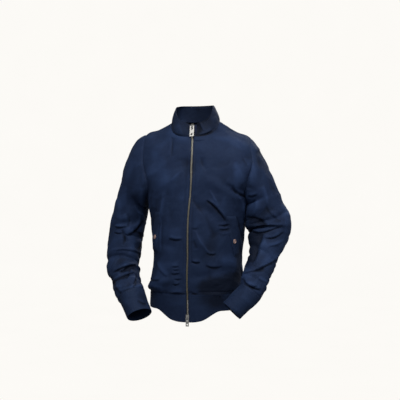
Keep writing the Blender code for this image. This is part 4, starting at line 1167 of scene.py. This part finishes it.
armhole_lean = {}
for side in SIGN:
    grid, share, angles, seam_out = sleeve_grid(side)
    calm = np.clip(share / CALM_CAP, 0, 1) * np.clip((1 - share) / CALM_CUFF, 0, 1)
    rise = spiral_rise(SLEEVE_FOLDS[side], share, angles[None]) * calm
    grid = grid + outward(grid) * rise[..., None]
    out = outward(grid)
    out[0] = unit(out[0] + seam_out)
    armhole_lean[side] = out[0].copy()
    extra = ARMS_TALLER * spiral_rise(ARM_CREASES, share, angles[None]) * calm
    name, ends = f"sleeve_{side}", ALL_EDGES[:2]
    moved, lean, tone = creased(name, grid, out, ends, True, extra, sleeve_lively(share), ends[1:])
    lean[0] = out[0]
    shell(name, moved, lean, tone, navy_cloth, "shell_cloth", closed=True)

    cuff, name = cuff_grid(side, angles), f"cuff_{side}"
    cloth = creased(name, cuff, outward(cuff), ends, True, lively=CUFF_LIVELY, dark=ends[:1])
    shell(name, *cloth, band_cloth, "band_cloth", closed=True)

# %% [markdown]
# ## Sewing the torso's panels
#
# Each front and the back get their grid of levels and turns, their folds, and the normals of the seams
# they share with the sleeves and the collar.

# %% Fronts and back
def neck_lean(turn):
    level = np.full(turn.shape, NECK)
    return unit(normals(torso, level, turn) + normals(collar, np.zeros(turn.shape), turn))


def torso_panel(name, turns, levels, arms=(), neck=True, lively=1.0):
    """One panel of the torso. arms says which armholes lie on its first and last columns."""
    grid, out, level = laid(torso, levels, turns)
    if name.startswith("band_front"):
        sag = HEM_SAG * np.exp(-((grid[..., 0] / HEM_SAG_WITHIN) ** 4))
        grid[..., 2] -= sag * np.clip(1 - level / BAND_SEAM, 0, 1)
    for column, side in arms:
        ring = armhole_lean[side]
        front, back = ring[: ARM_ROWS + 1][::-1], np.concatenate([ring[ARM_ROWS:], ring[:1]])
        out[ARM_FIRST : ARM_LAST + 1, column] = back if name == "back" else front
    if neck:
        out[-1] = neck_lean(turns[-1])
    extra = BACK_TALLER * fold_rise(BACK_CREASES, grid, out) if name == "back" else 0.0
    lively = lively * torso_lively(grid)
    moved, lean, tone = creased(name, grid, out, extra=extra, lively=lively, dark=ALL_EDGES[2:])
    for column, _ in arms:
        lean[:, column] = out[:, column]
    if neck:
        lean[-1] = out[-1]
    look, slot = (navy_cloth, "shell_cloth") if neck else (band_cloth, "band_cloth")
    shell(name, moved, lean, tone, look, slot)


for side in SIGN:
    torso_panel(f"front_{side}", front_turns(side, BODY_LEVELS), BODY_LEVELS, ((-1, side),))
    band = front_turns(side, BAND_LEVELS)
    torso_panel(f"band_front_{side}", band, BAND_LEVELS, neck=False, lively=BAND_LIVELY)
torso_panel("back", back_turns(BODY_LEVELS), BODY_LEVELS, ((0, "left"), (-1, "right")))
torso_panel("band_back", back_turns(BAND_LEVELS), BAND_LEVELS, neck=False, lively=BAND_LIVELY)

# %% [markdown]
# ## Stand collar
#
# The collar is one strip round the neck, sewn to the neckline and open where the zip runs up it.

# %% Collar
COLLAR_ROWS, COLLAR_DEPTH = 26, 0.056
COLLAR_DIP, COLLAR_DIP_DEG = 0.0075, 26.0  # how far the top edge dips to the zip, over what turn
CORNER_CUT, CORNER_REACH = 0.0045, 0.009  # the corners beside the zip are rounded off


def collar_grid():
    neck = np.array([NECK])
    left, right = (front_turns(side, neck)[0] for side in SIGN)
    base = np.concatenate([left, back_turns(neck)[0][1:-1], 360 + right[::-1]])
    levels = np.interp(spaced(COLLAR_DEPTH, COLLAR_ROWS), [0, COLLAR_DEPTH], [0, COLLAR_TOP])
    share = (base - base[0]) / (base[-1] - base[0])
    edges = np.array([[zip_edge(collar, level)] for level in levels])
    turns = edges + (360 - 2 * edges) * share
    turns[0] = base
    grid, out, level = laid(collar, levels, turns)
    from_zip = np.minimum(turns, 360 - turns)
    across = run_of(grid, 1)
    corner = np.minimum(across, across[:, -1:] - across)
    height = level / COLLAR_TOP
    grid[..., 2] -= COLLAR_DIP * height * np.exp(-((from_zip / COLLAR_DIP_DEG) ** 2))
    grid[..., 2] -= CORNER_CUT * height**2 * np.exp(-((corner / CORNER_REACH) ** 2))
    grid[0] = torso(np.full(base.shape, NECK), base)
    out[0] = neck_lean(base)
    return grid, out


grid, out = collar_grid()
moved, lean, tone = creased("collar", grid, out, lively=COLLAR_LIVELY, dark=ALL_EDGES[1:])
lean[0] = out[0]
shell("collar", moved, lean, tone, collar_cloth, "shell_cloth")

# %% [markdown]
# ## Pocket welts
#
# A slanted welt is a doubled strip sewn over a pocket's slit. It lies on the front, so it takes the
# front's own folds and is lifted by its thickness, least along its sewn edge and most at the opening.

# %% Pocket welts
WELT_TOP_Z = {"left": -0.305, "right": -0.292}
WELT_LENGTH, WELT_WIDTH, WELT_WALL = 0.130, 0.040, 0.0012
WELT_EDGE_DEG = {"left": (60.0, 80.0), "right": (49.0, 62.0)}  # of the opening, at its top and bottom
WELT_ROWS, WELT_COLUMNS, WELT_SAMPLES, LEVEL_STEPS = 44, 14, 181, 301
WELT_LIFT, WELT_SEWN_LIFT, WELT_SLOPE = 0.0046, 0.0018, 0.008
LIP_DIP, LIP_WIDTH = 0.0006, 0.0012  # of the opening's rolled lip
SNAP_SHARE, SNAP_ACROSS = 0.62, 0.68


def level_at(z):
    """The level at which the torso's side has a height."""
    levels = np.linspace(0, ARMPIT, LEVEL_STEPS)
    return float(np.interp(z, torso_plain(levels, np.full(LEVEL_STEPS, 90.0))[:, 2], levels))


def welt_grid(side):
    """Points of a welt on the front, rows from its top and the first column at its opening."""
    first, last = (level_at(WELT_TOP_Z[side] - drop) for drop in (0, WELT_LENGTH))
    share = spaced(WELT_LENGTH, WELT_ROWS) / WELT_LENGTH
    levels = first + (last - first) * share
    top, bottom = WELT_EDGE_DEG[side]
    turns = []
    for level, edge in zip(levels, top + (bottom - top) * share):
        fine = np.linspace(edge, 0, WELT_SAMPLES)
        run = run_round(torso, level, SIGN[side] * fine)
        turns.append(SIGN[side] * np.interp(spaced(WELT_WIDTH, WELT_COLUMNS), run, fine))
    return laid(torso, levels, np.array(turns))[:2]


snap_seats = {}
for side in SIGN:
    grid, out = welt_grid(side)
    strokes, _, broad = stroke_rise(f"front_{side}", grid, out)
    # the tone keeps the broad strokes whole while their height is flattened, so their shade and light are
    # painted into the colour
    tone = strokes + torso_lively(grid) * wrinkle_rise(grid)
    rise = tone - TORSO_FLATTER * broad
    away, _ = near_edges(grid, ("first_row", "last_row", "last_column"))
    lift = WELT_SEWN_LIFT + (WELT_LIFT - WELT_SEWN_LIFT) * np.clip(away / WELT_SLOPE, 0, 1)
    opening, _ = near_edges(grid, ("first_column",))
    lift -= LIP_DIP * np.exp(-((opening / LIP_WIDTH) ** 2))
    moved = grid + out * (rise + lift)[..., None]
    lean = agreeing(grid_normals(moved), out)
    shell(f"pocket_welt_{side}", moved, lean, tone, band_cloth, "band_cloth", wall=WELT_WALL, outer=0.0)
    place = SNAP_SHARE * (len(moved) - 1)
    seat, stands = (along(x.reshape(len(x), -1), place).reshape(-1, 3) for x in (moved, lean))
    run = run_of(seat[None], 1)[0]
    columns = np.interp(SNAP_ACROSS * WELT_WIDTH, run, np.arange(len(run)))
    snap_seats[side] = (along(seat, columns), unit(along(stands, columns)))

# %% [markdown]
# ## Snaps
#
# Each welt closes with a small ring-sprung snap. Its cap is pressed from thin brass, coppered and then
# lacquered: a rolled rim, a ring-shaped groove, and a low dome in the middle. A turned profile makes it.

# %% Snaps
SNAP_SEGMENTS = 48
SNAP_PROFILE_MM = (  # radius and height, from the cloth up over the rim to the middle
    (6.2, 0),
    (6.9, 0.35),
    (7.05, 0.95),
    (6.95, 1.6),
    (6.5, 2.1),
    (5.9, 2.25),
    (5.3, 2),
    (4.9, 1.45),
    (4.3, 1.15),
    (3.6, 1.2),
    (3.1, 1.45),
    (2.4, 1.75),
    (1.2, 1.95),
)
CROWN_MM = 0.05  # of the middle over the profile's last ring


def ring_faces(rings, count):
    """Faces between rings of count points each."""
    return [
        (ring + i, ring + (i + 1) % count, ring + count + (i + 1) % count, ring + count + i)
        for ring in range(0, (rings - 1) * count, count)
        for i in range(count)
    ]


def turned(name, profile_mm, segments, at, stands, look):
    """A turned piece, standing on the cloth with its axis along stands. Its foot is closed."""
    across = unit(np.cross([0.0, 0.0, 1.0], stands))
    axes = np.stack([across, np.cross(stands, across), stands])
    a = np.arange(segments) * math.tau / segments
    rings = [np.stack([r * np.cos(a), r * np.sin(a), np.full(segments, h)], -1) for r, h in profile_mm]
    points = np.concatenate([*rings, [[0, 0, profile_mm[-1][1] + CROWN_MM]], [[0, 0, profile_mm[0][1]]]])
    faces = ring_faces(len(rings), segments)
    crown, foot = len(points) - 2, len(points) - 1
    for i in range(segments):
        k = (i + 1) % segments
        faces += [(crown - segments + i, crown - segments + k, crown), (k, i, foot)]
    mesh = bpy.data.meshes.new(name)
    mesh.from_pydata(points / 1000 @ axes + at, [], faces)
    mesh.materials.append(look)
    smooth(mesh)
    return new_object(name, mesh)


copper, tree, shader, here = new_material("coppered_brass_lacquered")
tarnish = noise(tree, here, scale=260.0, detail=3.0)
colour = blend(tree, tarnish, "#c9a093", "#e4c6ba")
dull = ranged(tree, tarnish, low=0.34, high=0.5)
fill(tree, shader, {"Metallic": 0.6}, {"Base Color": colour, "Roughness": dull})

for side, (at, stands) in snap_seats.items():
    snap = turned(f"snap_{side}_cap", SNAP_PROFILE_MM, SNAP_SEGMENTS, at, stands, copper)
    hand_over(snap, "jacket", "snap_metal", f"snap_{side}")
    print(snap.name, "at", np.round(at, 3))

# %% [markdown]
# ## Zip tapes
#
# A woven tape runs behind each front edge and carries the teeth. Only its inner edge shows.

# %% Zip tapes
ZIP_ROWS = 200
ZIP_TURNS = np.linspace(-25, 25, 501)  # round the middle of the front, within which the zip lies
TORSO_SAMPLES, COLLAR_SAMPLES = 160, 40
TAPE_COLUMNS = (0.0010, 0.0022, 0.0034, 0.0060, 0.0090, 0.0120, 0.0140)
TAPE_DEPTH, TAPE_WALL = -0.0017, 0.0008
TAPE_TOP = 0.013  # of the tapes' ends below the collar's form
FORWARD = np.array([0.0, -1.0, 0.0])


def zip_rows(distances):
    """Points at distances from the zip's middle, in even rows from the hem to just below the collar's top."""
    heights = [(torso, level) for level in np.linspace(0, NECK, TORSO_SAMPLES)]
    heights += [(collar, level) for level in np.linspace(0, COLLAR_TOP, COLLAR_SAMPLES)[1:]]
    parts = []
    for surface, level in heights:
        run = run_round(surface, level, ZIP_TURNS)
        at = np.interp(distances, run - run[len(run) // 2], ZIP_TURNS)
        parts.append(surface(np.full(len(at), level), at))
    grid = np.array(parts)
    run = run_of(grid, 0)[:, 0]
    even = np.linspace(0, run[-1] - TAPE_TOP, ZIP_ROWS)
    columns = [np.interp(even, run, column) for column in grid.reshape(len(grid), -1).T]
    return np.stack(columns, -1).reshape(ZIP_ROWS, -1, 3)


tape_cloth = cloth_material("navy_polyester_zip_tape", "#141c33", "#1a2440", "#222e4c", weave_bump=0.8)
for side, sign in SIGN.items():
    grid = zip_rows(np.array(TAPE_COLUMNS) * sign)
    lean, flat = agreeing(grid_normals(grid), FORWARD), np.zeros(grid.shape[:2])
    shell(f"zip_tape_{side}", grid, lean, flat, tape_cloth, "zip_tape", wall=TAPE_WALL, outer=TAPE_DEPTH)

# %% [markdown]
# ## Rows that follow a line
#
# Zip teeth and stitches are one small shape repeated along a line on the cloth. Geometry Nodes does
# that: the line becomes a curve, the curve gets a point every pitch, and each point takes a copy that is
# turned along the line and stands out of the cloth. The result is turned into one plain mesh.

# %% A node tree that repeats a piece along lines
PIECE_SHARP_DEG = 35


def row_tree():
    """A tree that turns lines into a row of pieces."""
    tree = bpy.data.node_groups.new("row_along_lines", "GeometryNodeTree")
    inputs = {"Lines": "Geometry", "Pitch": "Float", "Piece": "Object", "Finish": "Material"}
    for name, kind in inputs.items():
        tree.interface.new_socket(name, in_out="INPUT", socket_type=f"NodeSocket{kind}")
    tree.interface.new_socket("Row", in_out="OUTPUT", socket_type="NodeSocketGeometry")
    given = add(tree, "NodeGroupInput").outputs

    def geo(kind, links, **settings):
        """Adds a geometry node and gives its first output."""
        return add(tree, f"GeometryNode{kind}", settings, links).outputs[0]

    curve = geo("MeshToCurve", {"Mesh": given["Lines"]})
    even = geo("ResampleCurve", {"Curve": curve, "Length": given["Pitch"]}, mode="LENGTH")
    out = geo("InputNamedAttribute", {}, data_type="FLOAT_VECTOR", Name="out")
    ways = {"Primary Axis": out, "Secondary Axis": geo("InputTangent", {})}
    axes = {"primary_axis": "Z", "secondary_axis": "Y"}
    turn = add(tree, "FunctionNodeAxesToRotation", axes, ways).outputs[0]
    piece = add(tree, "GeometryNodeObjectInfo", {}, {"Object": given["Piece"]}).outputs["Geometry"]
    copies = geo("InstanceOnPoints", {"Points": even, "Instance": piece, "Rotation": turn})
    real = geo("RealizeInstances", {"Geometry": copies})
    finished = geo("SetMaterial", {"Geometry": real, "Material": given["Finish"]})
    add(tree, "NodeGroupOutput", {}, {"Row": finished})
    return tree


ROW_TREE = row_tree()


def prism(name, outline_mm, low_mm, high_mm, chamfer_mm):
    """A small solid from an outline in its XY plane, with a chamfer round its upper face."""
    outline = np.array(outline_mm)
    middle = outline.mean(0)
    reach = np.linalg.norm(outline - middle, axis=1, keepdims=True)
    inner = middle + (outline - middle) * (1 - chamfer_mm / reach)
    levels = ((outline, low_mm), (outline, high_mm - chamfer_mm), (inner, high_mm))
    rings = [np.column_stack([ring, np.full(len(ring), h)]) for ring, h in levels]
    n = len(outline)
    faces = [tuple(range(n))[::-1], tuple(range(2 * n, 3 * n)), *ring_faces(len(rings), n)]
    mesh = bpy.data.meshes.new(name)
    mesh.from_pydata(np.concatenate(rings) / 1000, [], faces)
    smooth(mesh, PIECE_SHARP_DEG)
    return bpy.data.objects.new(name, mesh)


def row_of(name, lines, pitch, piece, look, slot, *nodes):
    """Repeats a piece along lines, each given as its points and the directions out of the cloth."""
    edges, first = [], 0
    for line, _ in lines:
        edges += [(first + i, first + i + 1) for i in range(len(line) - 1)]
        first += len(line)
    points, outs = (np.concatenate(values) for values in zip(*lines))
    mesh = bpy.data.meshes.new(name)
    mesh.from_pydata(points, edges, [])
    mark = mesh.attributes.new("out", "FLOAT_VECTOR", "POINT")
    mark.data.foreach_set("vector", outs.ravel().astype(np.float32))
    source = new_object(f"{name}_lines", mesh)
    row = source.modifiers.new("row", "NODES")
    row.node_group = ROW_TREE
    sockets = {item.name: item.identifier for item in ROW_TREE.interface.items_tree if item.in_out == "INPUT"}
    row[sockets["Pitch"]] = pitch
    row[sockets["Piece"]] = piece
    row[sockets["Finish"]] = look
    graph = bpy.context.evaluated_depsgraph_get()
    plain = bpy.data.meshes.new_from_object(source.evaluated_get(graph))
    bpy.data.objects.remove(source, do_unlink=True)
    hand_over(new_object(name, plain), "jacket", slot, *nodes)
    print(f"{name}: {len(plain.polygons)} faces along {len(lines)} lines")


# %% [markdown]
# ## Zip teeth
#
# The teeth are stamped brass, clamped on the edges of the tapes and locking in turn. Their colour is
# brighter towards the collar and browner below. A tooth has a rounded head, a waist and two legs.

# %% Zip teeth
TOOTH_PITCH = 0.0023
TOOTH_SIDE_MM = ((2.60, 0.40), (1.50, 0.56), (0.75, 0.48), (0.15, 0.54), (-0.38, 0.34))
TOOTH_MM = (*TOOTH_SIDE_MM, *((x, -y) for x, y in TOOTH_SIDE_MM[::-1]))
TOOTH_LOW, TOOTH_HIGH, TOOTH_CHAMFER = -1.3, 1.15, 0.22
TEETH_DEPTH = -0.0008
ZIP_STOP, ZIP_TOP_STOP = 0.015, 0.004  # of the last teeth from the ends of the tapes
LINE_SAMPLES = 300
MIDDLE_COLUMNS = (-0.001, 0.0, 0.001)

brass, tree, shader, here = new_material("stamped_brass_teeth")
height = add(tree, "ShaderNodeSeparateXYZ", None, {"Vector": here}).outputs["Z"]
# the teeth turn paler with height, towards the collar
paler = ranged(tree, height, low=0.0, high=1.0, first=-0.60, last=-0.06)
patches = noise(tree, here, scale=120.0, detail=3.0)
clean = add(tree, "ShaderNodeMath", {"operation": "MULTIPLY_ADD", 1: 0.5, 2: -0.25}, {0: patches})
bright = {0: paler, 1: clean.outputs[0]}
share = add(tree, "ShaderNodeMath", {"operation": "ADD", "use_clamp": True}, bright).outputs[0]
colour = blend(tree, share, "#877f69", "#b9b5a6")
polish = ranged(tree, share, low=0.55, high=0.44)
fill(tree, shader, {"Metallic": 0.55}, {"Base Color": colour, "Roughness": polish})

middle = zip_rows(np.array(MIDDLE_COLUMNS))[:, 1]
zip_out = agreeing(unit(np.cross([1.0, 0.0, 0.0], unit(np.gradient(middle, axis=0)))), FORWARD)
run = run_of(middle, 0)
chain_line = middle + zip_out * TEETH_DEPTH


def teeth_line(late):
    """The chain's line between its stops, a little later along it, with the directions out of it."""
    places = np.linspace(ZIP_STOP + late, run[-1] - ZIP_TOP_STOP + late, LINE_SAMPLES)
    return [
        np.stack([np.interp(places, run, column) for column in values.T], -1)
        for values in (chain_line, zip_out)
    ]


lines = [teeth_line(0.0), [values[::-1] for values in teeth_line(TOOTH_PITCH / 2)]]
tooth = prism("tooth", TOOTH_MM, TOOTH_LOW, TOOTH_HIGH, TOOTH_CHAMFER)
row_of("zip_teeth_row", lines, TOOTH_PITCH, tooth, brass, "zip_teeth", "zip_chain")

# %% [markdown]
# ## Sliders and pulls
#
# Sliders and pulls are cast in zinc and nickel-plated. Their solids already have the right shape, so
# each gets a copy with its corners broken by a small bevel, as casting and tumbling leave them. The top
# slider's nickel is painted dark as the shade behind its pull, so the slot and the hole of the pull show
# dark.

# %% Sliders and pulls
BROKEN_EDGE = 0.00028
MERGED_WITHIN, FLAT_DEG = 1e-6, 1  # of points that are one, and of faces that are one
BEVEL_OVER_DEG, CAST_SHARP_DEG = 35, 40
HOLE_FROM_END, HOLE_RADIUS = 0.00416, 0.0016  # of the top pull
HOLE_WIDER, HOLE_RAISED, HOLE_RIM = 2.05, 0.0034, 1.2


def plated_material(name, dull, bright):
    """Plated zinc, cloudy between two colours and finely scratched."""
    made, tree, shader, here = new_material(name)
    cloudy = noise(tree, here, scale=180.0, detail=4.0)
    scratched = noise(tree, here, scale=900.0, detail=2.0)
    links = {
        "Base Color": blend(tree, cloudy, dull, bright),
        "Roughness": ranged(tree, cloudy, low=0.42, high=0.55),
        "Normal": bump(tree, scratched, strength=0.15, distance=0.0001),
    }
    fill(tree, shader, {"Metallic": 0.6}, links)
    return made


nickel = plated_material("nickel_plated_zinc", "#a09e99", "#c2c0bb")
# painted shade: the top slider lies in the shade of its pull, so its nickel is made dark
nickel_in_painted_shade = plated_material("nickel_worn_dark", "#2e2d2b", "#45433f")


def place_hole(work):
    """Widens and raises the hole near the free end of a pull, which hangs down from its hinge."""
    points = np.array([v.co for v in work.verts])
    middle = points.mean(0)
    long_way, _, flat_way = np.linalg.svd(points - middle)[2]
    long_way = long_way * math.copysign(1.0, long_way[2])
    across_way = np.cross(flat_way, long_way)
    down, across = (points - middle) @ long_way, (points - middle) @ across_way
    centre = middle + long_way * (down.min() + HOLE_FROM_END)
    centre = centre + across_way * (across.max() + across.min()) / 2
    for vert, place in zip(work.verts, points):
        off = place - centre
        off = off - flat_way * float(off @ flat_way)
        if np.linalg.norm(off) < HOLE_RIM * HOLE_RADIUS:
            vert.co = place + off * (HOLE_WIDER - 1) + long_way * HOLE_RAISED


def cast_copy(node, body, look):
    """A copy of a solid with its doubles merged, its flats whole and its corners broken."""
    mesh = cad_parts[node].data.copy()
    work = bmesh.new()
    work.from_mesh(mesh)
    bmesh.ops.remove_doubles(work, verts=work.verts, dist=MERGED_WITHIN)
    flat = math.radians(FLAT_DEG)
    bmesh.ops.dissolve_limit(work, angle_limit=flat, verts=work.verts, edges=work.edges)
    bmesh.ops.recalc_face_normals(work, faces=work.faces)
    if node == "pull_top":
        place_hole(work)
    work.to_mesh(mesh)
    work.free()
    made = new_object(f"{node}_cast", mesh)
    mesh.materials.clear()
    mesh.materials.append(look)
    bevel = made.modifiers.new("broken_edges", "BEVEL")
    bevel.width = BROKEN_EDGE
    bevel.segments = 2
    bevel.limit_method = "ANGLE"
    bevel.angle_limit = math.radians(BEVEL_OVER_DEG)
    bevel.harden_normals = False
    mesh.shade_smooth()
    mesh.set_sharp_from_angle(angle=math.radians(CAST_SHARP_DEG))
    hand_over(made, body, "zip_metal", node)


for end in ("top", "bottom"):
    cast_copy(f"slider_{end}", "jacket", nickel_in_painted_shade if end == "top" else nickel)
    cast_copy(f"pull_{end}", f"{end}_pull", nickel)
print("two sliders and two pulls")

# %% [markdown]
# ## Topstitching
#
# Every seam is pressed to one side and topstitched 6 mm away in thread of the cloth's colour, at nine
# stitches to the inch. A stitch is a short rounded bar that sinks into the cloth at both ends.

# %% Stitches
STITCH_PITCH = 0.0030
NEAR, FAR = 3, -4  # the rows and columns of a grid that lie 6 mm in from its first and last edge
STITCH_MM = ((0.22, -0.75), (0.0, -1.15), (-0.22, -0.75), (-0.22, 0.75), (0.0, 1.15), (0.22, 0.75))
STITCH_LOW, STITCH_HIGH, STITCH_CHAMFER = -0.15, 0.22, 0.1
THREAD_LIFT = 0.00005
MIDDLE_SEAMS = (  # a piece, then its stitched columns, then its stitched rows
    ("back", (), (NEAR,)),
    ("band_back", (), (NEAR, FAR)),
    ("collar", (), (NEAR, FAR)),
    ("collar", (NEAR, FAR), ()),
)
SIDE_SEAMS = (
    ("front", (NEAR,), (NEAR,)),
    ("band_front", (NEAR,), (NEAR, FAR)),
    ("pocket_welt", (NEAR, FAR), ()),
    ("cuff", (), (NEAR, FAR)),
    ("sleeve", (), (NEAR,)),
)

thread, tree, shader, here = new_material("navy_polyester_thread")
ply = noise(tree, here, scale=1500.0, detail=1.0)
fill(tree, shader, {"Roughness": 0.6}, {"Base Color": blend(tree, ply, "#18233d", "#222f4b")})


def seam_lines(name, columns, rows):
    """Lines of a piece's grid on its outer face, each with the directions out of the cloth."""
    grid, lean = surfaces[name]
    lift = THREAD_LIFT + (0.0 if "welt" in name else OUTER)
    lines = [(grid[:, column], lean[:, column]) for column in columns]
    lines += [(grid[row], lean[row]) for row in rows]
    if name.startswith(("cuff", "sleeve")):
        lines = [[np.concatenate([x, x[:1]]) for x in line] for line in lines]  # closed round the tube
    return [(line + out * lift, out) for line, out in lines]


lines = []
for name, columns, rows in MIDDLE_SEAMS:
    lines += seam_lines(name, columns, rows)
for side in SIGN:
    for name, columns, rows in SIDE_SEAMS:
        lines += seam_lines(f"{name}_{side}", columns, rows)
stitch = prism("stitch", STITCH_MM, STITCH_LOW, STITCH_HIGH, STITCH_CHAMFER)
row_of("topstitching", lines, STITCH_PITCH, stitch, thread, "shell_cloth")

# %% [markdown]
# ## Stage and light
#
# A pale cove runs all round: a floor that bends up into a wall. It only shows, so it neither lights nor
# shades the cloth. The light is a large soft lamp high in front, a weak one at the other side and one
# behind, with a dim even room between them, so that the cloth darkens from the shoulders to the hem.

# %% Stage and light
FLOOR_Z = -1.05
COVE_RADIUS, COVE_BEND, COVE_TOP, COVE_MIDDLE = 5.0, 1.5, 6.0, 0.01
COVE_SEGMENTS, BEND_SEGMENTS = 96, 12


def cove_mesh():
    start = COVE_RADIUS - COVE_BEND
    profile = [(COVE_MIDDLE, FLOOR_Z), (start, FLOOR_Z)]
    for a in np.linspace(0, math.pi / 2, BEND_SEGMENTS + 1)[1:]:
        profile.append((start + COVE_BEND * math.sin(a), FLOOR_Z + COVE_BEND * (1 - math.cos(a))))
    profile.append((COVE_RADIUS, COVE_TOP))
    turn = np.arange(COVE_SEGMENTS) * math.tau / COVE_SEGMENTS
    points = [(r * math.cos(t), r * math.sin(t), z) for r, z in profile for t in turn]
    floor_middle = tuple(range(COVE_SEGMENTS))
    mesh = bpy.data.meshes.new("cove")
    mesh.from_pydata(points, [], [*ring_faces(len(profile), COVE_SEGMENTS), floor_middle])
    mesh.shade_smooth()
    return mesh


cove = new_object("cove", cove_mesh())
paper, tree, shader, here = new_material("pale_paper")
grain = noise(tree, here, scale=3.0, detail=2.0)
shines = {"Emission Color": blend(tree, grain, "#fdfbf7", "#fbf9f5")}
black = {"Base Color": (0.0, 0.0, 0.0, 1.0), "Specular IOR Level": 0.0, "Roughness": 1.0}
fill(tree, shader, {"Emission Strength": 1.0} | black, shines)
cove.data.materials.append(paper)
cove.visible_diffuse = False
cove.visible_glossy = False
cove.visible_shadow = False

world = bpy.data.worlds.new("dim_even_room")
bpy.context.scene.world = world
world.use_nodes = True
room = world.node_tree.nodes["Background"]
fill(world.node_tree, room, {"Color": linear("#eef2fa"), "Strength": 0.20})
bpy.context.scene.view_settings.view_transform = "Standard"
LAMP_AIM = np.array([0.0, 0.0, -0.25])


def soft_lamp(name, at, size, watts):
    """A square white lamp that faces the jacket and doesn't show itself."""
    lamp = new_object(name, bpy.data.lights.new(name, "AREA"))
    lamp.data.size = size
    lamp.data.energy = watts
    lamp.location = at
    away = np.array(at) - LAMP_AIM
    lamp.rotation_euler = (math.acos(away[2] / np.linalg.norm(away)), 0.0, math.atan2(away[0], -away[1]))
    lamp.visible_camera = False


soft_lamp("key", (0.2, -1.42, 1.62), size=0.8, watts=39)
soft_lamp("side", (1.8, -0.9, 0.9), size=1.0, watts=12)
soft_lamp("behind", (0.4, 2.0, 1.4), size=1.4, watts=36)
print("three lamps and a cove")
